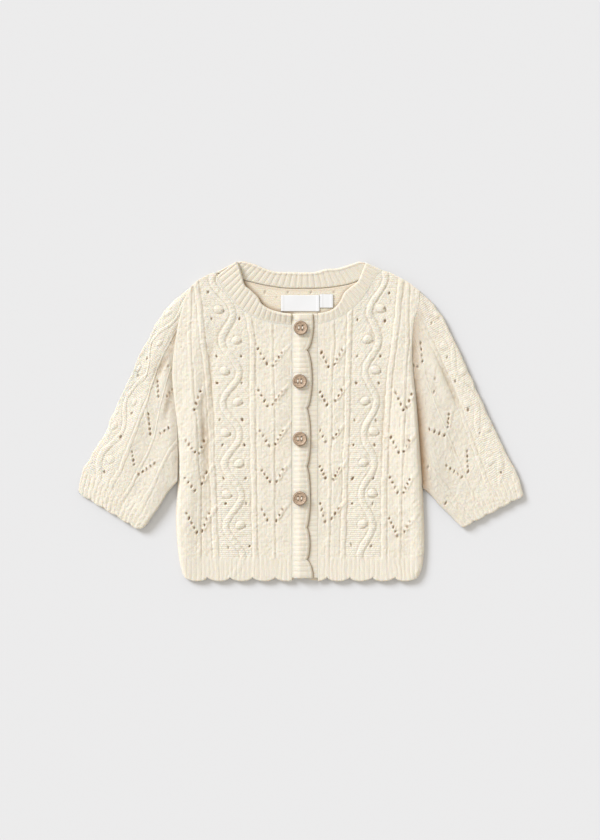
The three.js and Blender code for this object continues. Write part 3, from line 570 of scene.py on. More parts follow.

# In each front: the centre edge, where the hem's first point is, a height at which the rope swings
# outwards, how far it swings, how deep the panel is tucked in along its side at heights, the raised
# columns, arms of lace, single eyelets, soft folds and streaks of painted shade.

FRONTS = {
    "right": dict(
        toward=-1, edge=7.5, side=RIGHT_SIDE, top=RIGHT_TOP, hem_point=1.8, wave_top=269.5, sway=8.0,
        tuck=np.array([(0, 2.0), (90, 2.2), (130, 1.4), (200, 0.9), (240, 0.5), (292, 0.3)], float),
        lace=(24, 24.4, 25.2, 26.4, 26.4), rib=(44.2, 46.3, 46.8, 47.6, 51.5),
        rope=(65, 66.6, 68.2, 69.5, 80), rib_out=(82.7, 86.5, 89.3, 95.7, 104),
        lace_out=(97, 98.5, 103.5, 108, 107.5),
        arms=[(-41.4, 231.3, -32.5, 216.5, 4), (-17.5, 227.3, -26.3, 214.4, 4),
              (-40.7, 189.8, -31.9, 174.2, 4), (-17.3, 188.6, -26.5, 175.8, 4),
              (-39.3, 149.4, -30.1, 134.6, 4), (-16.4, 149.5, -23.9, 136.4, 4),
              (-37.3, 110.0, -29.4, 98.8, 4), (-16.1, 110.7, -22.6, 99.0, 3),
              (-37.3, 71.0, -32.0, 60.5, 3), (-16.7, 71.0, -22.9, 60.0, 3),
              (-98.7, 189.0, -104.8, 170.7, 4), (-113.0, 139.6, -104.0, 128.4, 4),
              (-95.2, 139.4, -100.0, 127.0, 3), (-114.0, 102.4, -104.2, 90.0, 4),
              (-92.6, 108.0, -97.2, 97.0, 3), (-112.5, 67.3, -102.3, 48.3, 5),
              (-89.8, 67.0, -96.8, 49.7, 4)],
        single=[(-87.6, 261.5), (-59.8, 261.5), (-82.7, 224), (-58.2, 224), (-82.1, 197.3), (-57.6, 197.3),
                (-79.5, 160.7), (-57, 160.7), (-76.7, 135.5), (-54.8, 135.5), (-75.5, 102), (-53.6, 102),
                (-73.6, 77), (-53, 77), (-70.9, 33), (-49.7, 34.5), (-91, 288)],
        folds=[(-108, 232, -105, 60, 10, 2.6), (-89, 232, -88, 120, 3.5, -1.3), (-115, 130, -112, 8, 9, 2.0),
               (-99, 275, -100, 235, 11, 1.6), (-35, 190, -38, 60, 16, 0.8), (-66, 120, -70, 40, 14, 0.9),
               (-60, 245, -75, 205, 14, 0.9), (-20, 236, -22, 150, 9, 0.6), (-95, 152, -93, 112, 4, -1.3),
               (-50, 100, -48, 40, 10, -0.5), (-97, 205, -95, 130, 3.0, -1.0)],
        shade_streaks=[(-96.8, 170, -95.6, 136, 2.4, 0.32), (-94.6, 114, -95.4, 98, 2.0, 0.25)]),
    "left": dict(
        toward=1, edge=18.3, side=LEFT_SIDE, top=LEFT_TOP, hem_point=5.2, wave_top=270.5, sway=6.0,
        tuck=np.array([(0, 2.0), (90, 2.4), (180, 2.4), (220, 1.6), (255, 0.6), (289, 0.3)], float),
        lace=(31, 32, 32.8, 35.2, 35.2), rib=(43.6, 45.8, 47.2, 49.4, 51), rope=(67, 68.4, 70.2, 73, 81),
        rib_out=(85, 84.8, 87.6, 94.5, 102.5), lace_out=(102, 103, 106, 109, 111),
        arms=[(22.0, 227.6, 29.0, 213.5, 4), (42.8, 230.0, 35.3, 216.0, 4),
              (20.6, 188.2, 27.4, 175.4, 4), (42.3, 190.0, 36.0, 179.5, 3),
              (20.4, 149.5, 26.2, 138.5, 3), (39.4, 150.0, 34.0, 142.0, 3),
              (20.4, 114.0, 26.0, 102.5, 4), (39.8, 112.0, 34.0, 101.0, 4),
              (20.4, 77.0, 25.7, 58.8, 4), (39.0, 72.0, 32.3, 62.2, 3),
              (96.2, 187.0, 103.7, 170.4, 4), (112.0, 186.0, 107.0, 173.0, 3),
              (91.3, 143.0, 99.0, 128.0, 4), (109.5, 139.7, 104.0, 129.0, 3),
              (90.3, 103.0, 98.0, 88.0, 4), (110.0, 101.0, 104.0, 88.0, 4),
              (89.6, 62.2, 97.8, 44.7, 5), (110.3, 59.0, 105.0, 49.0, 3)],
        single=[(58, 260.4), (85.4, 259.2), (57.7, 224), (80.9, 224), (56.8, 197.3), (79.2, 197.3),
                (55.2, 160), (76.3, 160), (54, 135.5), (75, 135.5), (53, 102), (73.8, 102),
                (52.7, 77), (73, 77), (51.7, 36), (71.5, 34.5), (84.9, 272), (89.6, 287)],
        folds=[(103, 215, 106, 60, 11, 1.8), (114, 200, 117, 6, 7, 2.2), (95, 262, 101, 215, 11, 1.3),
               (33, 200, 35, 70, 13, 0.8), (60, 150, 62, 45, 14, 0.9), (66, 250, 62, 190, 12, 0.9),
               (84, 190, 85, 120, 4, -0.8), (108, 190, 111, 150, 5, -1.2), (45, 100, 44, 40, 9, -0.5)],
        shade_streaks=[(106.5, 146, 109, 131, 2.2, 0.25)]),
}


def column_out(front, key, y):
    """How far out a raised column is at each height, through its five places."""
    places = front[key]
    top_y = read(front["top"], np.array(float(places[-1])))
    return read(np.column_stack([[*COLUMN_AT, float(top_y)], places]).astype(float), y)


def front_grid(front, spacing):
    """Places of a front: its distance out and height, in rows from the hem to the top edge and
    from the centre edge to the side. The top of each line is the height at which it meets the
    top edge, found by going back and forth between the two until they agree."""
    edge, side, top = front["edge"], front["side"], front["top"]

    def across(share, y):
        y = np.maximum(y, 0)
        centre = edge + CENTRE_BOW * np.sin(np.pi * y / FRONT_HEIGHT)
        return centre + share * (read(side, y) - centre)

    share = np.linspace(0, 1, round((side[:, 1].max() - edge) / spacing) + 1)
    high = np.full(share.shape, FRONT_TOP_ABOUT)
    for _ in range(GRID_ROUNDS):
        high = (high + read(top, across(share, high))) / 2
    high[-1] = side[-1, 0]
    low = hem_height(across(share, 0 * share), front["hem_point"])
    rise = np.linspace(0, 1, round(side[-1, 0] / spacing) + 1)[:, None]
    y = low + (high - low) * rise
    return across(share, y), y


def hem_height(out, first_point):
    """Height of the scalloped hem: arches of the root of a sine, with points between them."""
    arch = abs(np.sin(np.pi * (out - first_point) / SCALLOP))
    return HEM_BOTTOM + SCALLOP_DEPTH * (1 - np.sqrt(arch))


def front_relief(front, out, y):
    """Relief of a front: two broad ribs, a rope that swings as a cosine of the height with a bobble
    beside each turn, lace wales and branches, and hem ribs. Gives it with the eyelets and with the
    purl ground between the ribs, both from 0 to 1."""
    x = front["toward"] * out
    out = out + uneven_sum(x, y, FRONT_WANDER)
    turned = 2 * np.pi * (y - front["wave_top"]) / WAVE
    slope = front["sway"] * 2 * np.pi / WAVE * np.sin(turned)
    rope_at = column_out(front, "rope", y) - front["sway"] * np.cos(turned)
    rib = out - column_out(front, "rib", y)
    rib_out = out - column_out(front, "rib_out", y)
    relief = broad_rib(rib, RIB_HALF, y) + broad_rib(rib_out, RIB_OUT_HALF, y)
    relief += rope(out - rope_at, slope, ROPE_HALF, y)
    spots = []
    for turn in range(BOBBLES):
        centre_y = front["wave_top"] - turn * WAVE / 2
        outward = 1 if turn % 2 == 0 else -1
        rope_out = float(column_out(front, "rope", np.array(centre_y)))
        centre_x = front["toward"] * (rope_out + outward * BOBBLE_ASIDE * front["sway"])
        relief += bobble(x, y, centre_x, centre_y + BOBBLE_UP, -outward)
        spots.append((centre_x + BOBBLE_SHADE_PIT[0], centre_y + BOBBLE_SHADE_PIT[1]))
    for key in ("lace", "lace_out"):
        relief += lace_wale(out - column_out(front, key, y), front["toward"], LACE_HALF)
    near, far = (branches(x, y, front["arms"], aside) for aside in BRANCH_ASIDE)
    relief += np.maximum(near, FAR_BRANCH * far)
    purl = smooth_step(*RIB_FOOT, rib) * smooth_step(*RIB_FOOT, -rib_out)
    relief -= PURL_SINK * purl
    body = smooth_step(HEM_RIB - 3, HEM_RIB + 2, y)
    # The pits beside the bobbles, on their side away from the light, are shallower and painted brown as
    # shade.
    inside = np.maximum(eyelets(x, y, arm_places(front["arms"]) + front["single"]),
                        BOBBLE_SHADE_PIT_DEEP * eyelets(x, y, spots))
    inside *= smooth_step(0.9, 2.2, out - front["edge"])
    relief += uneven_sum(x, y, FRONT_YARN)
    hem_ribs = ribbing(out - front["hem_point"] + uneven_sum(x, y, HEM_WANDER), HEM_RIB_PITCH, HEM_RIB_DEPTH)
    hem_ribs *= 0.85 + uneven_sum(x, y, HEM_STRENGTH)
    return relief * (0.25 + 0.75 * body) + (1 - body) * hem_ribs, inside, purl * body


def front_panel(name, front):
    """A front: its grid, raised by relief and soft folds, with round edges, over a flat underside."""
    out, y = front_grid(front, FINE)
    relief, inside, purl = front_relief(front, out, y)
    x = front["toward"] * out
    from_side = read(front["side"], np.maximum(y, 0)) - out
    from_top = (y[-1] - y) * TOP_SLANT
    from_hem = y - y[0]
    from_centre = out - out[:, :1]
    tucked = read(front["tuck"], np.maximum(y, 0))
    drop = tucked * rounded(from_side, SIDE_REACH)
    for distance, (deep, reach) in ((from_top, TOP_FALL), (from_hem, HEM_FALL), (from_centre, CENTRE_FALL)):
        drop += deep * rounded(distance, reach)
    calm = smooth_step(0, 4, from_side) * smooth_step(0, 6, from_top)
    lift = creases(x, y, front["folds"]) * smooth_step(0, 9, from_hem) * calm * smooth_step(0, 8, from_centre)
    from_ends = np.minimum(from_top, from_side)
    height = relief * (0.3 + 0.7 * smooth_step(0, 2.5, from_ends)) * smooth_step(0, 2, from_centre)
    top = FRONT_LEVEL + CLOTH + height + lift - EYELET_DEEP * inside - np.minimum(drop, CLOTH - 0.3)
    top = np.maximum(top, FRONT_LEVEL + 0.15)
    # Painted shade: brown in the eyelets and in streaks along some creases, and shade in the hollows by
    # depth.
    flags = {"painted_shade": np.maximum(inside, creases(x, y, front["shade_streaks"])),
             "cavity_shade": finish_relief(height - drop, 3, lift), "purl": purl}
    return wall(name, x, y, top, FRONT_LEVEL, np.stack([out, y], axis=-1), flags)


# Back, of which the inside of the neck shows

BACK_LINES = 231
BACK_COARSE_ROWS = 70
BACK_FINE_ROWS = 46
BACK_FINE_FROM = 0.86
BACK_SHOULDERS = (np.array([(-110, 292), (-102, 299.5), (-94, 304)], float),
                  np.array([(97, 304.2), (110, 297), (120, 289)], float))
BACK_HEM_LIFT = 1
BACK_TOP_ABOUT = 290.0
BACK_EYELETS = [(-46 + 11.5 * step, 283 + 5 * (step % 2)) for step in range(9)]
BACK_EYELET_DEEP = 1.5
BACK_FALL = (0.9, 1.6)


def back_panel():
    """The back: rows from the hem to the top edge, close together only near the neck, where its
    lace eyelets show. Shade is painted on it beside the neckband's parts, by a bell about each line."""
    neck = through(BACK_NECK_SEAM)
    edge = np.vstack([BACK_SHOULDERS[0], neck, BACK_SHOULDERS[1]])
    share = np.linspace(0, 1, BACK_LINES)

    def across(share, y):
        y = np.maximum(y, 0)
        start = -read(RIGHT_SIDE, y)
        return start + share * (read(LEFT_SIDE, y) - start)

    high = np.full(share.shape, BACK_TOP_ABOUT)
    for _ in range(GRID_ROUNDS):
        high = (high + np.interp(across(share, high), edge[:, 0], edge[:, 1])) / 2
    at_hem = across(share, 0 * share)
    low = BACK_HEM_LIFT + np.where(at_hem < 0, hem_height(-at_hem, FRONTS["right"]["hem_point"]),
                                   hem_height(at_hem, FRONTS["left"]["hem_point"]))
    rise = np.concatenate([np.linspace(0, BACK_FINE_FROM, BACK_COARSE_ROWS, endpoint=False),
                           np.linspace(BACK_FINE_FROM, 1, BACK_FINE_ROWS)])[:, None]
    y = low + (high - low) * rise
    x = across(share, y)
    inside = 0.5 * eyelets(x, y, BACK_EYELETS)
    top = CLOTH - BACK_FALL[0] * rounded(y[-1] - y, BACK_FALL[1]) - BACK_EYELET_DEEP * inside
    # Painted shadow beside the free edges of the fronts' neckband parts and along the back neckband's seam;
    # the eyelets are painted brown as shade.
    for line, strength, width in ((through(RIGHT_NECK_EDGE), 0.65, 3.0), (through(LEFT_NECK_EDGE), 0.42, 2.4),
                                  (neck, 0.4, 2.0)):
        inside = np.maximum(inside, strength * bell(line_distance(x, y, line), width))
    return wall("cloth_back", x, y, top, 0.0, np.stack([x, y], axis=-1),
                {"painted_shade": inside, "cavity_shade": 0.5 + 0 * x, "purl": 1 + 0 * x})


# Bands

LAP_LINES = 38
LAP_ROWS = 440
LAP_FOLDS = ((4, 240, 5, 200, 7, 0.8), (6, 130, 5, 95, 7, 0.7), (3, 60, 4, 20, 8, 0.6))
UNDER_LINES = 32
UNDER_ROWS = 400
BAND_RIB_PITCH = RIB_PITCH * 0.93
BAND_RIB_DEPTH = 0.42
BAND_RIB_START = 1.5  # height at which a rib of the buttonhole band is highest
UNDER_RIB_DEPTH = 0.3
LAP_FALLS = ((1.5, 1.8), (1.4, 2.0), (0.08, 1.4))  # depth and reach at its edge, its ends, its seam
EDGING_AT = 1.8  # of a low roll from the free edge of a band, and half its width
EDGING_HALF = 1.6


def lap_reach(y):
    """How far the free edge of the lapping band reaches: arches of the root of a sine."""
    reach = np.full(y.shape, LAP_REACH)
    for bottom, top, bulge in LAP_ARCHES:
        within = (y >= bottom) & (y < top)
        share = np.clip((y - bottom) / (top - bottom), 0, 1)
        reach = np.where(within, LAP_REACH + bulge * np.sqrt(np.sin(np.pi * share)), reach)
    return reach


def band_right():
    """The buttonhole band: it starts beside the front and climbs on to the band under it. Ribs
    cross it, and its free edge is arched."""
    y = np.linspace(BAND_BOTTOM, BAND_TOP, LAP_ROWS)[:, None] + 0 * np.linspace(0, 1, LAP_LINES)
    share = np.linspace(0, 1, LAP_LINES) + 0 * y
    reach = lap_reach(y)
    x = LAP_START + (reach - LAP_START) * share
    from_front, from_edge = x - LAP_START, reach - x
    hem = np.minimum(y - BAND_BOTTOM, BAND_TOP - y)
    relief = ribbing(y - BAND_RIB_START, BAND_RIB_PITCH, BAND_RIB_DEPTH) * smooth_step(0.2, 3, from_front)
    relief *= 0.35 + 0.65 * smooth_step(0.5, 3.5, from_edge)
    edging = 0.35 * hump(from_edge - EDGING_AT, EDGING_HALF)
    drop = smooth_step(6.5, 0, from_edge)
    for distance, (deep, fall_reach) in zip((from_edge, hem, from_front), LAP_FALLS):
        drop += deep * rounded(distance, fall_reach)
    step = LAP_LEVEL - FRONT_LEVEL
    ease = smooth_step(0, LAP_EASE, from_front)
    under = FRONT_LEVEL + step * smooth_step(0, LAP_CLIMB, from_front) + 0.25 * rounded(from_edge, 1.2)
    top = FRONT_LEVEL + step * ease + CLOTH + relief + edging + creases(x, y, LAP_FOLDS) * ease - drop
    top = np.maximum(top, under + 0.1)
    return wall("cloth_band_right", x, y, top, under, np.stack([y, x], axis=-1),
                {"painted_shade": 0 * x, "cavity_shade": finish_relief(relief + edging - drop, 3), "purl": 0 * x})


def band_left():
    """The button band under it: a flat ribbed strip, with painted shadow along the other band's edge."""
    x = np.linspace(*UNDER_BAND, UNDER_LINES) + 0 * np.linspace(0, 1, UNDER_ROWS)[:, None]
    y = np.linspace(BAND_BOTTOM, BAND_TOP, UNDER_ROWS)[:, None] + 0 * x
    edge = np.minimum(x - UNDER_BAND[0], np.minimum(y - y.min(), y.max() - y))
    relief = ribbing(y, BAND_RIB_PITCH, UNDER_RIB_DEPTH)
    top = FRONT_LEVEL + CLOTH - 0.05 + np.minimum(relief, 0.28) * smooth_step(0, 2, UNDER_BAND[1] - x)
    top -= 0.9 * rounded(edge, 1.4)
    # Painted shadow cast by the lapping band's free edge.
    shade = 0.55 * bell(x - lap_reach(y) - 0.2, 1.1)
    return wall("cloth_band_left", x, y, top, FRONT_LEVEL, np.stack([y, x], axis=-1),
                {"painted_shade": shade, "cavity_shade": finish_relief(relief, 3), "purl": 0 * x})


NECK_LINES = 30
NECK_SPACING = 0.5
NECK_RIB_PITCH = RIB_PITCH * 0.9
NECK_RIB_DEPTH = 0.6
BACK_NECK_RIB_DEPTH = 0.55
BACK_NECK_THIN = 0.6


def neck_strip(name, seam, edge, level, wall_height, rise, tilt, sewn, roll_high, fall):
    """A ribbed strip between its seam and its free edge, both read by the share of their length.
    Ribs of height `rise` run across it, it rises by `tilt` towards the free edge, which falls by
    `fall` behind a roll of height `roll_high`, and sinks by `sewn` at the seam."""
    length = np.hypot(*np.diff(edge, axis=0).T).sum()
    share = np.linspace(0, 1, round(length / NECK_SPACING) + 1)[:, None]
    across = np.linspace(0, 1, NECK_LINES)
    start, end = at_share(seam, share[:, 0])[:, None], at_share(edge, share[:, 0])[:, None]
    place = start + (end - start) * across[None, :, None]
    x, y = place[..., 0], place[..., 1]
    wide = np.hypot(*(end - start).transpose(2, 0, 1))
    from_seam, from_edge = across * wide, (1 - across) * wide
    ends = np.minimum(share, 1 - share) * length + 0 * across
    fade = smooth_step(0.6, 3.2, from_seam) * (0.3 + 0.7 * smooth_step(1.0, 3.0, from_edge))
    relief = ribbing(share * length, NECK_RIB_PITCH, rise) * fade + 0 * across
    roll = roll_high * hump(from_edge - EDGING_AT, EDGING_HALF)
    drop = sewn * rounded(from_seam, 1.5) + fall * rounded(from_edge, 2.0) + 0.7 * rounded(ends, 1.4)
    swell = tilt * smooth_step(0, 0.85, across) + 0 * share
    top = np.maximum(level + wall_height + relief + roll + swell - drop, level + 0.15)
    return wall(name, x, y, top, level, np.stack([share * length + 0 * across, from_seam], axis=-1),
                {"painted_shade": 0 * x, "cavity_shade": finish_relief(relief + roll - drop, 2), "purl": 0 * x})


def front_neckband(name, front, table, tilt, roll_high, fall):
    """A front's part of the neckband: its seam follows the top of the front's own grid."""
    out, y = front_grid(front, MEDIUM)
    row = np.column_stack([front["toward"] * out[-1], y[-1]])
    row = row[out[-1] < NECK_CORNER - 1][::-1]
    seam = moved_aside(row, -front["toward"] * 0.05)
    edge = through(table)
    return neck_strip(name, seam, edge, FRONT_LEVEL, CLOTH, NECK_RIB_DEPTH, tilt, 0.04, roll_high, fall)


def back_neckband():
    """The back part of the neckband, one level lower, so that the fronts' parts lie on it."""
    seam = moved_aside(through(BACK_NECK_SEAM), 0.35)
    return neck_strip("cloth_neckband_back", seam, through(BACK_NECK_EDGE), 0.0, CLOTH - BACK_NECK_THIN,
                      BACK_NECK_RIB_DEPTH, 0.1, 1.4, 0.5, 1.6)


# Sleeves

SLEEVE_SCALLOPS = 5
SLEEVE_SCALLOP_DEPTH = 1.8
CORNER_SPREAD = 0.02  # width of a rounded corner, as a share of the cuff's for each mm of its depth
CORNER_REACH = 0.86  # share of the sleeve's length from which its corners are rounded
ARMHOLE_SEAM = 0.12
FOLD_HEIGHT = 2.7
SLEEVE_TOP_LINES = 180
SLEEVE_UNDER_LINES = 16
SLEEVE_RINGS = 320
SLEEVE_INNER_RINGS = 8
UNDER_INSET = 1.5

SLEEVE_RIB_HALF = 2.9
SLEEVE_ROPE_HALF = 3.4
SLEEVE_BOBBLES = 6
SLEEVE_LACE_HALF = 1.8
SLEEVE_LACE_RISE = 0.6
SLEEVE_LACE_GROOVE = 0.3
SLEEVE_BRANCH_ASIDE = 3.0
SLEEVE_EYELET_DEEP = 0.85
CUFF_RIB_PITCH = RIB_PITCH * 0.82
CUFF_RIB_DEPTH = 0.4
CUFF_FALL = (1.5, 2.2)
SLEEVE_WANDER = ((0.5, 7, 5), (1.0, 28, 6))
SLEEVE_YARN = ((0.22, 2.4, 17), (0.16, 1.25, 18), (0.25, 9, 19))

# Sleeve columns. In each table the first column is the share of the length from the cuff, the
# second the share of the width from the outer fold. The rope is between the fold and the outer rib.
# The cuff is let down by slant at its inner corner, and its corners are rounded by so many
# millimetres. Puff lifts the inner half, slump lowers the outer one, roll is the reach of the
# rounded fold, and the tables paint shade on the cloth beside the armhole and sink it, by height.

ROPE_SHARE = 0.43
ROPE_SWAY = 0.17

SLEEVES = {
    "right": dict(
        toward=-1, side=RIGHT_SIDE, tuck_wide=6.0, strength=0.62, puff=2.8, slump=2.0, roll=2.1,
        slant=6.0, corners=(2.4, 6.5),
        rib=np.array([(0, 0.41), (0.5, 0.41), (0.73, 0.40), (0.87, 0.325), (1, 0.21)]),
        lace=np.array([(0, 0.625), (0.35, 0.618), (0.71, 0.62), (0.89, 0.52), (1, 0.39)]),
        rib_in=np.array([(0, 0.835), (0.6, 0.828), (1, 0.787)]),
        gap=np.array([(90, 0.1), (120, 0.25), (150, 0.15), (180, 0.2), (205, 0.2), (240, 0.1),
                      (258, 0.0)], float),
        tuck=np.array([(90, 0.8), (120, 1.2), (180, 1.5), (235, 0.8), (265, 0.1), (292, 0.0)], float),
        arms=[(-150.6, 166.5, -148.7, 146.4, 5), (-130.5, 152.6, -138.6, 147.0, 3),
              (-167.0, 128.7, -165.0, 116.0, 4), (-144.4, 117.2, -160.2, 106.2, 5),
              (-141.5, 199.0, -140.5, 184.0, 4), (-127.0, 191.0, -132.0, 184.0, 3)],
        single=[(-167.3, 167), (-178.3, 143.6), (-194.6, 108.6), (-161, 205), (-131, 214), (-152, 222)],
        folds=[(-121, 254, -141, 207, 3.0, -1.0), (-126, 228, -127, 186, 3.0, -1.0),
               (-127, 186, -135, 158, 3.0, -0.9), (-133, 262, -153, 205, 7, 1.3),
               (-152, 190, -178, 120, 9, 0.8), (-134, 190, -147, 130, 8, 0.8), (-128, 160, -142, 92, 7, 0.9),
               (-137, 222, -146, 188, 4, -1.0), (-118, 286, -133, 258, 9, 1.2),
               (-176, 175, -200, 118, 10, 0.7), (-160, 120, -182, 84, 8, 0.5)],
        shade_streaks=[(-121, 256, -128, 230, 2.4, 0.55), (-128, 231, -141, 207, 2.2, 0.48),
               (-128.5, 200, -134, 166, 2.4, 0.42)]),
    "left": dict(
        toward=1, side=LEFT_SIDE, tuck_wide=9.0, strength=0.55, puff=1.0, slump=0.0, roll=3.6,
        slant=0.0, corners=(0.4, 1.6),
        rib=np.array([(0, 0.42), (0.165, 0.388), (0.31, 0.333), (0.425, 0.288), (0.56, 0.242), (0.69, 0.212),
                      (0.84, 0.188), (1, 0.12)]),
        lace=np.array([(0, 0.65), (0.2, 0.623), (0.35, 0.588), (0.64, 0.505), (0.86, 0.425), (0.94, 0.305),
                       (1, 0.235)]),
        rib_in=np.array([(0, 0.87), (0.3, 0.865), (0.53, 0.845), (0.8, 0.835), (1, 0.795)]),
        gap=np.array([(90, 0.75), (110, 0.95), (168, 0.9), (192, 0.62), (250, 0.5), (276, 0.1)], float),
        tuck=np.array([(90, 2.0), (110, 2.5), (175, 2.2), (235, 1.2), (262, 0.4), (289, 0.0)], float),
        arms=[(129.9, 151.0, 144.5, 145.0, 4), (149.2, 166.0, 148.0, 153.3, 4),
              (146.7, 115.0, 162.2, 103.4, 5), (167.3, 129.2, 168.2, 109.0, 5),
              (121.0, 237.0, 122.8, 219.0, 4), (114.3, 215.0, 117.9, 213.4, 2)],
        single=[(132, 257), (147.3, 223), (155.4, 199), (168.3, 170.5), (135.3, 201.3), (134.4, 188.4),
                (179.8, 147.3), (201.3, 108), (145.8, 77.5), (128.6, 113.3)],
        folds=[(138.4, 222, 160.7, 170, 3.0, -1.6), (131, 226, 152, 174, 6, 1.4),
               (150, 140, 158, 122, 3.0, -0.9), (118, 268, 126, 232, 9, 1.2),
               (145, 232, 178, 150, 9, 0.8), (138, 190, 153, 118, 8, 0.8), (133, 150, 142, 92, 7, 0.8),
               (160, 130, 188, 84, 9, 0.5), (170, 180, 200, 116, 9, 0.6)],
        shade_streaks=[(138.4, 222, 160.7, 170, 2.4, 0.12)]),
}


def sleeve_places(key):
    """The patch of a sleeve: a function from the share across, 0 at the outer fold, and the share
    along, 1 at the cuff, to a place, and one to the length of each line. The cuff's edge runs from
    wrist to wrist, let down by `slant` at the inner fold, dented inwards between its scallops and
    rounded at both corners."""
    sleeve = SLEEVES[key]
    toward = sleeve["toward"]
    outer, inner = lumpy(through(SLEEVE_OUTER[key])), through(SLEEVE_INNER[key])
    wrist_out, wrist_in = outer[-1], inner[-1]
    way = wrist_in - wrist_out
    inward = toward * np.array([way[1], -way[0]]) / np.hypot(*way)

    def armhole(across):
        y = outer[0, 1] + (inner[0, 1] - outer[0, 1]) * across
        return np.stack([toward * (read(sleeve["side"], y) + ARMHOLE_SEAM), y], axis=-1)

    def cuff(across):
        arch = np.sqrt(abs(np.sin(np.pi * SLEEVE_SCALLOPS * across)))
        dent = SLEEVE_SCALLOP_DEPTH * (1 - arch) - sleeve["slant"] * across
        return wrist_out + across[..., None] * way + dent[..., None] * inward

    def corners(across):
        outer_deep, inner_deep = sleeve["corners"]
        return (outer_deep * rounded(across, CORNER_SPREAD * outer_deep)
                + inner_deep * rounded(1 - across, CORNER_SPREAD * inner_deep))

    def bulge(line, along):
        straight = line[0] + along[..., None] * (line[-1] - line[0])
        return at_share(line, along) - straight

    def place(across, along):
        start, end = armhole(across), cuff(across)
        corner = corners(across) * smooth_step(CORNER_REACH, 1, along)
        return (start + along[..., None] * (end - start) + (1 - across)[..., None] * bulge(outer, along)
                + across[..., None] * bulge(inner, along) + corner[..., None] * inward)

    def length(across):
        return np.hypot(*(armhole(across) - cuff(across)).T).T

    return place, length


def fold_widths(place, rings):
    """How wide a sleeve is at each ring, from its outer fold to its inner one."""
    along = 1 - rings[:, 0]
    return np.hypot(*(place(0 * along, along) - place(1 + 0 * along, along)).T)[:, None]


def sleeve_relief(parts, x, y, rings, across, width, length):
    """Relief of a sleeve: a rope that swings as a sine of the length from the cuff, with a bobble
    beside each turn, two broad ribs, a lace rib with branches, and ribbing at the cuff. Gives it
    with the eyelets and with the purl ground, both from 0 to 1."""
    from_cuff = rings * length(across)
    wander = uneven_sum(x, y, SLEEVE_WANDER)
    rib, lace, rib_in = (read(parts[column], rings) for column in ("rib", "lace", "rib_in"))
    sway = ROPE_SWAY * rib
    turned = 2 * np.pi * from_cuff / WAVE
    slope = sway * width * 2 * np.pi / WAVE * np.cos(turned)
    rope_at = ROPE_SHARE * rib + sway * np.sin(turned)
    relief = rope((across - rope_at) * width + wander, slope, SLEEVE_ROPE_HALF, from_cuff)
    for turn in range(1, SLEEVE_BOBBLES + 1):
        centre = WAVE / 4 + turn * WAVE / 2
        share_along = np.clip(centre / length(np.array([0.2]))[0], 0, 1)
        outward = -1 if turn % 2 == 0 else 1
        share = read(parts["rib"], share_along) * (ROPE_SHARE + outward * ROPE_SWAY)
        relief += bobble(across * width, from_cuff, share * width, centre, 1)
    for column in (rib, rib_in):
        relief += broad_rib((across - column) * width + wander, SLEEVE_RIB_HALF, from_cuff)
    away = (across - lace) * width + wander
    relief += SLEEVE_LACE_RISE * hump(away, SLEEVE_LACE_HALF)
    relief -= SLEEVE_LACE_GROOVE * bell(abs(away) - SLEEVE_LACE_HALF - 0.6, 0.8)
    relief += branches(x, y, parts["arms"], SLEEVE_BRANCH_ASIDE)
    body = smooth_step(CUFF_RIB - 2, CUFF_RIB + 3, from_cuff)
    purl = smooth_step(2, 4, across * width) * smooth_step(2, 4, (rib - across) * width - 2) * body
    inside = SLEEVE_EYELET_DEEP * eyelets(x, y, arm_places(parts["arms"]) + parts["single"]) * body
    relief = parts["strength"] * relief * (0.1 + 0.9 * body) + uneven_sum(x, y, SLEEVE_YARN)
    relief += (1 - body) * ribbing(across * width[0], CUFF_RIB_PITCH, CUFF_RIB_DEPTH)
    return relief, inside, purl


def sleeve_inside(place):
    """The inner rings of a sleeve, one wall and a seam in from its folds: over them at the height
    of the upper wall's underside, and back at that of the lower wall's top."""
    rings = np.linspace(0, 1, SLEEVE_INNER_RINGS)[:, None]
    inset = (CLOTH + SEAM) / fold_widths(place, rings)
    over = inset + (1 - 2 * inset) * np.linspace(0, 1, SLEEVE_TOP_LINES)
    beneath = inset + (1 - 2 * inset) * np.linspace(1, 0, SLEEVE_UNDER_LINES + 2)[1:-1]
    share = np.concatenate([over, beneath], axis=1)
    level = np.concatenate([np.full(over.shape, FRONT_LEVEL), np.full(beneath.shape, CLOTH)], axis=1)
    level[:, 0] = level[:, SLEEVE_TOP_LINES - 1] = FRONT_LEVEL - SEAM / 2
    return np.concatenate([place(share, 1 - rings + 0 * share), level[..., None]], axis=-1)


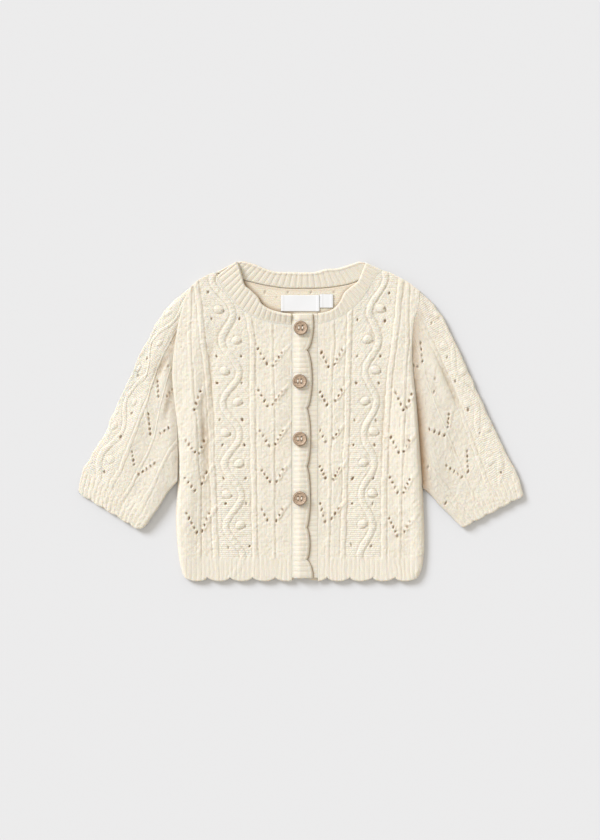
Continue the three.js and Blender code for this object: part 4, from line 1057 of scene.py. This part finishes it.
def sleeve(key):
    """A sleeve: one flattened tube between the armhole and the cuff. Each ring goes over the worked
    upper side, round the inner fold, back along the flat underside and round the outer fold."""
    place, length = sleeve_places(key)
    parts = SLEEVES[key]
    rings = np.linspace(0, 1, SLEEVE_RINGS)[:, None]
    width = fold_widths(place, rings)
    across = np.linspace(0, 1, SLEEVE_TOP_LINES) + 0 * rings
    from_cuff = rings * length(across)
    from_body = length(across) - from_cuff
    x, y = np.moveaxis(place(across, 1 - rings + 0 * across), -1, 0)
    aside = across * width
    fold = np.minimum(across, 1 - across) * width

    relief, inside, purl = sleeve_relief(parts, x, y, rings, across, width, length)
    beside_body = bell(from_body, parts["tuck_wide"])
    lift = creases(x, y, parts["folds"]) * smooth_step(0, 12, from_cuff)
    lift -= read(parts["tuck"], y) * beside_body
    # Painted shade: brown beside the armhole, by the table of heights, in streaks along some creases, and
    # faintly along the outer fold.
    shade = np.maximum(read(parts["gap"], y) * beside_body, creases(x, y, parts["shade_streaks"]))
    shade = np.maximum(shade, 0.04 * smooth_step(2.6, 0.8, aside))
    full = FRONT_LEVEL + CLOTH - parts["slump"] * smooth_step(0.44, 0.02, across)
    full += parts["puff"] * smooth_step(0.6, 0.95, across) * smooth_step(-12, 24, from_cuff)
    roll = full - (full - FOLD_HEIGHT) * rounded(fold, parts["roll"])
    calm = smooth_step(0, 7, fold)
    worked = (relief * (0.35 + 0.65 * calm) + lift * calm) * smooth_step(0, 2.5, fold)
    fall = CUFF_FALL[0] * rounded(from_cuff, CUFF_FALL[1]) * smooth_step(0, 2, fold)
    top = roll + worked - fall - EYELET_DEEP * inside
    top = np.maximum(top, np.where(fold > 3.2, FRONT_LEVEL + 0.25, 0))
    upper = np.stack([x, y, top], axis=-1)

    inset = UNDER_INSET / width
    back_share = inset + (1 - 2 * inset) * (np.linspace(1, 0, SLEEVE_UNDER_LINES + 2)[1:-1] + 0 * rings)
    under_spot = place(back_share, 1 - rings + 0 * back_share)
    under = np.concatenate([under_spot, 0 * back_share[..., None]], axis=-1)
    outer = np.concatenate([upper, under], axis=1)
    uv = np.concatenate([np.stack([aside, from_cuff], axis=-1),
                         np.stack([back_share * width, rings * length(back_share)], axis=-1)], axis=1)

    def padded(values, rest):
        return np.concatenate([values, np.full(back_share.shape, rest)], axis=1)

    flags = {"painted_shade": padded(np.maximum(inside, shade), 0), "purl": padded(purl, 0),
             "cavity_shade": padded(finish_relief(relief, 3, lift), 0.5)}
    return tube("cloth_sleeve_" + key, outer, sleeve_inside(place), uv, flags)


# Buttons

BUTTON_FACE = 5.0
BUTTON_HOLE = 0.95
BUTTON_HOLE_AT = 1.75
BUTTON_DISH = 1.75  # height of the middle of its face, and how much higher the face's border is
BUTTON_HOLLOW = 0.2
BUTTON_COUNTERSINK = 0.22  # how far the face sinks at its holes
BUTTON_RIM_SHADE = (6.0, 6.9)  # radii between which its edge is painted darker, as painted shade on its outer slope
BUTTON_LEVEL = LAP_LEVEL + CLOTH + 0.9
BUTTON_PLACES = ((1.2, 252.2), (0.1, 199.1), (0.3, 141.7), (0.3, 82.4))

# Outer profile of a button, from the edge of its dished face over the rim and down to its back:
# columns are radius and height

BUTTON_PROFILE = np.array([
    (5.0, 1.95), (5.2, 2.1), (5.4, 2.4), (5.62, 2.68), (5.88, 2.8), (6.15, 2.76), (6.4, 2.55),
    (6.65, 2.2), (6.88, 1.75), (7.04, 1.25), (7.1, 0.8), (7.02, 0.4), (6.75, 0.1), (6.35, 0),
    (5.0, 0)], float)


def turned_button():
    """A round button with four holes through it. Each quarter of its dished face is a grid between
    a hole and the border of the quarter, whose points lie where rays from the hole meet it. The
    back is the same grid, flat, and the rim is the profile turned about the axis."""
    along = np.linspace(0, BUTTON_FACE, 9)
    turn = np.linspace(0, np.pi / 2, 19)
    border = np.vstack([
        np.column_stack([along[:-1], 0 * along[:-1]]),
        BUTTON_FACE * np.column_stack([np.cos(turn), np.sin(turn)]),
        np.column_stack([0 * along[:-1], along[:-1]])[::-1]])[:-1]
    hole = np.array([BUTTON_HOLE_AT, BUTTON_HOLE_AT])
    ray = border - hole
    rim = hole + BUTTON_HOLE * ray / np.linalg.norm(ray, axis=1, keepdims=True)
    share = np.linspace(0, 1, 9)[:, None, None] ** 1.5
    face = rim + share * (border - rim)
    out = np.hypot(*face.transpose(2, 0, 1)) / BUTTON_FACE
    dish = BUTTON_DISH + BUTTON_HOLLOW * out ** 2 - BUTTON_COUNTERSINK * (1 - share[..., 0]) ** 6
    levels = np.linspace(0, 1, 5)[:, None]
    grids = [
        (np.concatenate([face, dish[..., None]], axis=-1), True),
        (np.stack([rim[:, 0] + 0 * levels, rim[:, 1] + 0 * levels, dish[0] * levels], axis=-1), True),
        (np.concatenate([face[::-1], 0 * dish[..., None]], axis=-1), True),
        (np.stack([BUTTON_PROFILE[:, :1] * np.cos(turn), BUTTON_PROFILE[:, :1] * np.sin(turn),
                   BUTTON_PROFILE[:, 1:] + 0 * turn], axis=-1), False)]
    points, faces, count = [], [], 0
    for grid, closed in grids:
        number = np.arange(grid.shape[0] * grid.shape[1]).reshape(grid.shape[:2])
        cells = np.vstack([quads(number[row], number[row + 1], closed) for row in range(len(number) - 1)])
        for flip_x in (1, -1):
            for flip_y in (1, -1):
                points.append(grid.reshape(-1, 3) * (flip_x, flip_y, 1))
                faces.append((cells if flip_x * flip_y > 0 else cells[:, ::-1]) + count)
                count += number.size
    points, merged = np.unique(np.round(np.vstack(points), 4), axis=0, return_inverse=True)
    return points, facing_out(points, merged.ravel()[np.vstack(faces)])


THREAD_RADIUS = 0.3
THREAD_SIDES = 10
THREAD_APART = 0.26
THREAD_LEAN = (0.02, 0.03, 1.0)  # the way up, leant a little, and the way used where a path is upright
THREAD_UPRIGHT = (0.7, -0.7, 0.0)


def strand_along(path):
    """A round strand along a path of points: circles square to the path, closed at both ends by
    circles that shrink to almost nothing."""
    way = np.gradient(path, axis=0)
    way /= np.linalg.norm(way, axis=1, keepdims=True)
    aside = np.cross(way, THREAD_LEAN)
    flat = np.linalg.norm(aside, axis=1, keepdims=True)
    aside = np.where(flat > 0.05, aside / np.maximum(flat, 1e-9), np.cross(way, THREAD_UPRIGHT))
    above = np.cross(aside, way)
    turn = np.linspace(0, 2 * np.pi, THREAD_SIDES, endpoint=False)
    width = np.full(len(path), THREAD_RADIUS)
    width[[0, -1]] *= 0.05
    circle = (np.cos(turn)[:, None] * aside[:, None] + np.sin(turn)[:, None] * above[:, None])
    points = path[:, None] + width[:, None, None] * circle
    number = np.arange(len(path) * THREAD_SIDES).reshape(len(path), THREAD_SIDES)
    cells = np.vstack([quads(number[row], number[row + 1], True) for row in range(len(path) - 1)])
    return points.reshape(-1, 3), cells


def button_threads():
    """Sewing thread of all the buttons: on each, two pairs of strands that go up through a lower
    hole, over in a low arch and down through the hole above it."""
    points, faces, count = [], [], 0
    bend = np.linspace(-1, 1, 23)[:, None]
    for place_x, place_y in BUTTON_PLACES:
        for hole in (-BUTTON_HOLE_AT, BUTTON_HOLE_AT):
            for aside in (-THREAD_APART, THREAD_APART):
                along = 1.2 * np.sin(bend * np.pi / 2)
                high = 1.5 + 0.6 * np.cos(bend * np.pi / 2) ** 0.7 - 1.2 * smooth_step(0.7, 1, abs(bend))
                path = np.hstack([place_x + hole + aside + 0 * bend, place_y + along, BUTTON_LEVEL + high])
                strand, cells = strand_along(path)
                points.append(strand)
                faces.append(cells + count)
                count += len(strand)
    faces = np.vstack(faces)
    return put("sewing_threads", np.vstack(points), faces.ravel(), np.full(len(faces), 4))


# Labels

LABEL_SPACING = 0.25
LABEL_ROWS = 66
LABEL_THICK = 0.9
LABEL_HIGH = 0.8  # of its upper face over what it lies on
LABEL_SINK = 0.2
LABEL_FOLD = 0.18
LABEL_STITCH = 0.2
LABEL_FALL = (0.25, 0.5)


def label(name, left, right, bottom, top):
    """A bare woven label: a thin wall with a slow wave, folded ends and a row of small stitches
    along each end."""
    columns = np.linspace(left, right, round((right - left) / LABEL_SPACING) + 1)
    x = columns + 0 * np.linspace(0, 1, LABEL_ROWS)[:, None]
    y = np.linspace(bottom, top, LABEL_ROWS)[:, None] + 0 * x
    from_end = np.minimum(x - left, right - x)
    edge = np.minimum(from_end, np.minimum(y - bottom, top - y))
    stitch = hump(from_end - 1.5, 0.35) * hump((y - bottom) % 2.1 - 1.05, 0.75)
    wave = 0.22 * np.sin((x - left) / 6.3 + 0.4) * np.sin((y - bottom) / 7.0) + 0.15 * np.sin((x - left) / 11)
    fold = LABEL_FOLD * smooth_step(3.2, 2.6, from_end)
    upper = (FRONT_LEVEL + LABEL_HIGH + wave + fold + LABEL_STITCH * stitch
             - LABEL_FALL[0] * rounded(edge, LABEL_FALL[1]))
    under = np.maximum(FRONT_LEVEL - LABEL_SINK + 0 * x, upper - LABEL_THICK)
    return wall(name, x, y, upper, under, np.stack([x, y], axis=-1))


# Materials

def node(tree, kind, **values):
    """A new node with the given input values; names are those of its sockets, with _ for a space."""
    made = tree.nodes.new(kind)
    for key, value in values.items():
        if isinstance(key, str) and key.startswith("set_"):
            setattr(made, key[4:], value)
        else:
            made.inputs[key.replace("_", " ")].default_value = value
    return made


def math_node(tree, operation, first, second=None, third=None, clamp=False):
    """A Math node whose inputs are numbers or other nodes' outputs; gives its output."""
    made = tree.nodes.new("ShaderNodeMath")
    made.operation = operation
    made.use_clamp = clamp
    for place, value in enumerate((first, second, third)):
        if isinstance(value, (int, float)):
            made.inputs[place].default_value = value
        elif value is not None:
            tree.links.new(value, made.inputs[place])
    return made.outputs[0]


def mix_colour(tree, share, first, second, blend="MIX"):
    """A colour mix whose inputs are colours, numbers or other nodes' outputs; gives its output."""
    made = tree.nodes.new("ShaderNodeMix")
    made.data_type = "RGBA"
    made.blend_type = blend
    for place, value in (("Factor", share), ("A", first), ("B", second)):
        sockets = [socket for socket in made.inputs if socket.name == place and socket.enabled]
        if isinstance(value, bpy.types.NodeSocket):
            tree.links.new(value, sockets[0])
        else:
            sockets[0].default_value = value
    return [socket for socket in made.outputs if socket.enabled][0]


def new_group(name, inputs, outputs):
    """A shader node group with named float or vector inputs and outputs; gives it with its ends."""
    group = bpy.data.node_groups.new(name, "ShaderNodeTree")
    for key, kind, value in inputs:
        socket = group.interface.new_socket(key, in_out="INPUT", socket_type=kind)
        if value is not None:
            socket.default_value = value
    for key, kind in outputs:
        group.interface.new_socket(key, in_out="OUTPUT", socket_type=kind)
    return group, group.nodes.new("NodeGroupInput"), group.nodes.new("NodeGroupOutput")


def stitches_group():
    """Knit stitches from a place in millimetres along the courses and the wales. Plain stitches are
    pairs of slanting legs, high in the middle of each leg; purl stitches are rows of flat bumps,
    each row moved by half a stitch. Purl says how much of a place is purl. Rise is the height with
    the plain stitches at half their own, since their legs are narrow and would look too steep."""
    group, given, result = new_group(
        "knit_stitches",
        [("Place", "NodeSocketVector", None), ("Stitch Width", "NodeSocketFloat", STITCH_WIDE),
         ("Row Height", "NodeSocketFloat", STITCH_HIGH), ("Purl", "NodeSocketFloat", 0.0)],
        [("Height", "NodeSocketFloat"), ("Rise", "NodeSocketFloat")])
    wobble = node(group, "ShaderNodeTexNoise", Scale=0.35, Detail=1.0)
    group.links.new(given.outputs["Place"], wobble.inputs["Vector"])
    split = node(group, "ShaderNodeSeparateXYZ")
    group.links.new(given.outputs["Place"], split.inputs[0])
    shift = math_node(group, "MULTIPLY_ADD", wobble.outputs["Fac"], 0.9, -0.45)
    column, row = (
        math_node(group, "DIVIDE", math_node(group, "ADD", split.outputs[axis], shift), given.outputs[size])
        for axis, size in (("X", "Stitch Width"), ("Y", "Row Height")))
    centred = math_node(group, "SUBTRACT", math_node(group, "FRACT", column), 0.5)
    aside = math_node(group, "ABSOLUTE", centred)
    leg = math_node(group, "SINE", math_node(group, "MULTIPLY", aside, 2 * math.pi))
    slant = math_node(group, "MULTIPLY_ADD", aside, -1.3, row)
    beat = math_node(group, "SINE", math_node(group, "MULTIPLY", slant, 2 * math.pi))
    legs = math_node(group, "MULTIPLY", math_node(group, "POWER", leg, 0.6),
                     math_node(group, "MULTIPLY_ADD", beat, 0.18, 0.82))
    between = math_node(group, "POWER", math_node(group, "MULTIPLY", aside, 2.0), 5.0)
    plain = math_node(group, "MULTIPLY_ADD", between, -0.6, legs, clamp=True)
    odd = math_node(group, "MULTIPLY", math_node(group, "FLOOR", row), 0.5)
    bump = math_node(group, "ABSOLUTE", math_node(group, "SINE", math_node(
        group, "MULTIPLY", math_node(group, "ADD", column, odd), math.pi)))
    ridge = math_node(group, "SINE", math_node(group, "MULTIPLY", math_node(group, "FRACT", row), math.pi))
    purl = math_node(group, "MULTIPLY", math_node(group, "POWER", ridge, 0.7),
                     math_node(group, "MULTIPLY_ADD", bump, 0.35, 0.65))
    for key, low in (("Height", plain), ("Rise", math_node(group, "MULTIPLY", plain, 0.5))):
        turned = node(group, "ShaderNodeMix", set_data_type="FLOAT")
        group.links.new(given.outputs["Purl"], turned.inputs[0])
        group.links.new(low, turned.inputs[2])
        group.links.new(purl, turned.inputs[3])
        group.links.new(turned.outputs[0], result.inputs[key])
    return group


def yarn_group():
    """Uneven tone and fuzz of a spun yarn, from noise of three sizes on object coordinates."""
    group, given, result = new_group(
        "yarn_unevenness", [("Place", "NodeSocketVector", None)],
        [("Tone", "NodeSocketFloat"), ("Fuzz", "NodeSocketFloat")])
    noises = []
    for scale, detail in ((16.0, 2.0), (260.0, 3.0), (2300.0, 3.0)):
        noise = node(group, "ShaderNodeTexNoise", Scale=scale, Detail=detail, Roughness=0.6)
        group.links.new(given.outputs["Place"], noise.inputs["Vector"])
        noises.append(noise.outputs["Fac"])
    for key, noise, share in (("Tone", noises[0], 0.5), ("Fuzz", noises[2], 0.6)):
        rest = math_node(group, "MULTIPLY", noises[1], 1 - share)
        group.links.new(math_node(group, "MULTIPLY_ADD", noise, share, rest), result.inputs[key])
    return group


def new_material(name, roughness, **settings):
    """A material with one Principled shader whose even values are set on its own sockets."""
    material = bpy.data.materials.new(name)
    material.use_nodes = True
    tree = material.node_tree
    shader = tree.nodes["Principled BSDF"]
    shader.inputs["Roughness"].default_value = roughness
    for key, value in settings.items():
        shader.inputs[key.replace("_", " ")].default_value = value
    return material, tree, shader


def shade_of(colour, share):
    """A colour darkened to a share of itself."""
    return tuple(share * part for part in colour[:3]) + (1,)


def bumped(tree, shader, height, strength, distance):
    """Gives a shader a bump of a height."""
    bump = node(tree, "ShaderNodeBump", Strength=strength, Distance=distance)
    tree.links.new(height, bump.inputs["Height"])
    tree.links.new(bump.outputs["Normal"], shader.inputs["Normal"])


def knit_material(name, colour, stitches, yarn, inside_out=0.0):
    """Matt cream yarn with painted shade: warmer and darker in the hollows of the relief and between
    the stitches, brown in the eyelets, creases and cast shadows; stitches and fuzz are a bump."""
    material, tree, shader = new_material(
        name, 0.92, Sheen_Weight=0.2, Sheen_Roughness=0.6, Specular_IOR_Level=0.2,
        Subsurface_Weight=0.6, Subsurface_Radius=(1.0, 0.75, 0.5), Subsurface_Scale=0.0018)
    place = node(tree, "ShaderNodeUVMap", set_uv_map="cloth")
    spot = node(tree, "ShaderNodeTexCoord")
    marks = {key: node(tree, "ShaderNodeAttribute", set_attribute_name=key)
             for key in ("painted_shade", "cavity_shade", "purl")}
    knit = tree.nodes.new("ShaderNodeGroup")
    knit.node_tree = stitches
    tree.links.new(place.outputs[0], knit.inputs["Place"])
    purl = math_node(tree, "MAXIMUM", marks["purl"].outputs["Fac"], inside_out)
    tree.links.new(purl, knit.inputs["Purl"])
    spun = tree.nodes.new("ShaderNodeGroup")
    spun.node_tree = yarn
    tree.links.new(spot.outputs["Object"], spun.inputs["Place"])
    tone = math_node(tree, "MULTIPLY_ADD", spun.outputs["Tone"], 2.2, -0.6, clamp=True)
    toned = mix_colour(tree, tone, shade_of(colour, 0.93), colour)
    # Painted shade between the stitches: their low places are mixed towards the shadow colour.
    low = math_node(tree, "MULTIPLY_ADD", knit.outputs["Height"], -0.6, 0.46, clamp=True)
    stitch_shaded = mix_colour(tree, low, toned, CREAM_SHADOW)
    # Painted shade in the hollows of the relief, by how far below its neighbours each place lies.
    hollow_shade = math_node(tree, "MULTIPLY_ADD", marks["cavity_shade"].outputs["Fac"], 1.5, -0.82, clamp=True)
    hollows_shaded = mix_colour(tree, hollow_shade, stitch_shaded, CREAM_SHADOW)
    # Painted shade of deep brown in the eyelets, along creases and in cast shadows, from its mask.
    deep_shaded = mix_colour(tree, math_node(tree, "MULTIPLY", marks["painted_shade"].outputs["Fac"], 1.1, clamp=True),
                         hollows_shaded, DEEP_SHADE_COLOUR)
    tree.links.new(deep_shaded, shader.inputs["Base Color"])
    height = math_node(tree, "MULTIPLY_ADD", spun.outputs["Fuzz"], 0.6, knit.outputs["Rise"])
    bumped(tree, shader, height, 1.0, 0.0003)
    return material


def wood_material():
    """Speckled brown wood or shell: fine stretched grain, darker and lighter flecks, satin; painted shade on
    the rim.
    """
    material, tree, shader = new_material("button_brown", 0.5, Coat_Weight=0.15, Coat_Roughness=0.4)
    spot = node(tree, "ShaderNodeTexCoord")
    turn = node(tree, "ShaderNodeMapping", Rotation=(0, 0, 0.5), Scale=(1.0, 2.6, 1.0))
    tree.links.new(spot.outputs["Object"], turn.inputs["Vector"])
    grain = node(tree, "ShaderNodeTexNoise", Scale=420.0, Detail=5.0, Roughness=0.65)
    fleck = node(tree, "ShaderNodeTexNoise", Scale=1500.0, Detail=2.0, Roughness=0.5)
    for noise in (grain, fleck):
        tree.links.new(turn.outputs[0], noise.inputs["Vector"])
    share = math_node(tree, "MULTIPLY_ADD", grain.outputs["Fac"], 3.2, -1.1, clamp=True)
    brown = mix_colour(tree, share, BUTTON_DARK, BUTTON_LIGHT)
    spots = math_node(tree, "MULTIPLY_ADD", fleck.outputs["Fac"], 6.0, -3.3, clamp=True)
    flecked = mix_colour(tree, math_node(tree, "MULTIPLY", spots, 0.5), brown, BUTTON_FLECK)
    # Painted shade: the rim's outer slope is mixed towards the deepest brown of the grain.
    rim = node(tree, "ShaderNodeAttribute", set_attribute_name="rim")
    edge = math_node(tree, "MULTIPLY", rim.outputs["Fac"], 0.9)
    tree.links.new(mix_colour(tree, edge, flecked, BUTTON_DARK), shader.inputs["Base Color"])
    satin = math_node(tree, "MULTIPLY_ADD", grain.outputs["Fac"], 0.3, 0.35)
    tree.links.new(satin, shader.inputs["Roughness"])
    bumped(tree, shader, fleck.outputs["Fac"], 0.3, 0.0001)
    return material


def satin_material(name, colour):
    """White woven satin: fine threads across, a little shine."""
    material, tree, shader = new_material(name, 0.45, Sheen_Weight=0.2)
    spot = node(tree, "ShaderNodeTexCoord")
    threads = node(tree, "ShaderNodeTexWave", Scale=900.0, Distortion=0.4, set_bands_direction="Y")
    cross = node(tree, "ShaderNodeTexWave", Scale=700.0, Distortion=0.4, set_bands_direction="X")
    for wave in (threads, cross):
        tree.links.new(spot.outputs["Object"], wave.inputs["Vector"])
    along = math_node(tree, "MULTIPLY", threads.outputs["Fac"], 0.6)
    weave = math_node(tree, "MULTIPLY_ADD", cross.outputs["Fac"], 0.4, along)
    woven = mix_colour(tree, math_node(tree, "MULTIPLY", weave, 0.25), colour, shade_of(colour, 0.86))
    tree.links.new(woven, shader.inputs["Base Color"])
    bumped(tree, shader, weave, 0.25, 0.00006)
    return material


# Colours, linear

CREAM = (0.78, 0.742, 0.652, 1)
# Darker copy of the cream yarn for the bands and neckbands: painted shade.
CREAM_BAND_SHADED = (0.74, 0.70, 0.61, 1)
# Warmer, more tan copy of the cream yarn for the inside of the back: painted shade inside the neck.
CREAM_INSIDE_SHADED = (0.785, 0.722, 0.604, 1)
CREAM_SHADOW = (0.56, 0.47, 0.35, 1)
# Deep brown of painted shade, for eyelets, creases, the cracks beside the armholes and cast shadows.
DEEP_SHADE_COLOUR = (0.36, 0.245, 0.15, 1)
BUTTON_DARK = (0.19, 0.125, 0.082, 1)
BUTTON_LIGHT = (0.60, 0.44, 0.31, 1)
BUTTON_FLECK = (0.75, 0.62, 0.48, 1)
THREAD_WHITE = (0.80, 0.74, 0.64, 1)
LABEL_WHITE = (0.73, 0.735, 0.75, 1)
FLOOR_GREY = (0.652, 0.657, 0.674, 1)

stitches = stitches_group()
yarn = yarn_group()
knit = knit_material("knit_cream", CREAM, stitches, yarn)
shaded_inside_knit = knit_material("knit_cream_inside_shaded", CREAM_INSIDE_SHADED, stitches, yarn, 1.0)
ribbed = knit_material("rib_cream_shaded", CREAM_BAND_SHADED, stitches, yarn)
button_brown = wood_material()
satin = satin_material("label_satin", LABEL_WHITE)
thread_white = satin_material("sewing_thread", THREAD_WHITE)

# The dressed cardigan


def dress(piece, node_name, material):
    """Gives a piece its material and the body it rides on, and hides the node that it stands for."""
    piece.data.materials.append(material)
    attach(piece, "root")
    if node_name:
        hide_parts(node_name)


dress(back_panel(), "back", shaded_inside_knit)
dress(front_panel("cloth_front_right", FRONTS["right"]), "front_right", knit)
dress(front_panel("cloth_front_left", FRONTS["left"]), "front_left", knit)
dress(sleeve("right"), "sleeve_right", knit)
dress(sleeve("left"), "sleeve_left", knit)
dress(band_right(), "band_right", ribbed)
dress(band_left(), "band_left", ribbed)
dress(front_neckband("cloth_neckband_right", FRONTS["right"], RIGHT_NECK_EDGE, 2.3, 0.4, 1.6),
      "neckband_right", ribbed)
dress(front_neckband("cloth_neckband_left", FRONTS["left"], LEFT_NECK_EDGE, 0.3, 0.1, 0.7),
      "neckband_left", ribbed)
dress(back_neckband(), "neckband_back", ribbed)
dress(label("cloth_label_main", -18.4, 20, 269, 285), "label_main", satin)
dress(label("cloth_label_size", 20.5, 33.5, 272.6, 286), "label_size", satin)

turned_points, turned_faces = turned_button()
turned_rim_shade = smooth_step(*BUTTON_RIM_SHADE, np.hypot(turned_points[:, 0], turned_points[:, 1]))
for count, (place_x, place_y) in enumerate(BUTTON_PLACES, start=1):
    disc = put(f"turned_button_{count}", turned_points + (place_x, place_y, BUTTON_LEVEL),
               turned_faces.ravel(), np.full(len(turned_faces), 4), {"rim": turned_rim_shade})
    dress(disc, f"button_{count}", button_brown)
dress(button_threads(), None, thread_white)

# Floor and light

FLOOR_HALF = 14.0
floor_mesh = bpy.data.meshes.new("floor")
floor_corners = [(FLOOR_HALF * x, FLOOR_HALF * y, 0) for x, y in ((-1, -1), (1, -1), (1, 1), (-1, 1))]
floor_mesh.from_pydata(floor_corners, [], [(0, 1, 2, 3)])
floor = bpy.data.objects.new("floor", floor_mesh)
bpy.context.scene.collection.objects.link(floor)
floor_mesh.materials.append(
    new_material("floor_pale", 0.9, Base_Color=FLOOR_GREY, Specular_IOR_Level=0.1)[0])

SUN_FROM = (-0.75, 0.68, 0.60)
SUN_STRENGTH = 3.1
SUN_SPREAD = math.radians(24)
SUN_COLOUR = (0.965, 1.0, 1.065)
SKY_STRENGTH = 0.80
SKY_COLOUR = (1.0, 0.958, 0.88, 1)

sun_data = bpy.data.lights.new("sun", "SUN")
sun_data.energy = SUN_STRENGTH
sun_data.angle = SUN_SPREAD
sun_data.color = SUN_COLOUR
sun = bpy.data.objects.new("sun", sun_data)
sun.rotation_mode = "QUATERNION"
sun.rotation_quaternion = Vector(SUN_FROM).to_track_quat("Z", "Y")
bpy.context.scene.collection.objects.link(sun)

world = bpy.data.worlds.new("studio")
world.use_nodes = True
sky = world.node_tree.nodes["Background"]
sky.inputs["Color"].default_value = SKY_COLOUR
sky.inputs["Strength"].default_value = SKY_STRENGTH
bpy.context.scene.world = world
bpy.context.scene.view_settings.view_transform = "Standard"
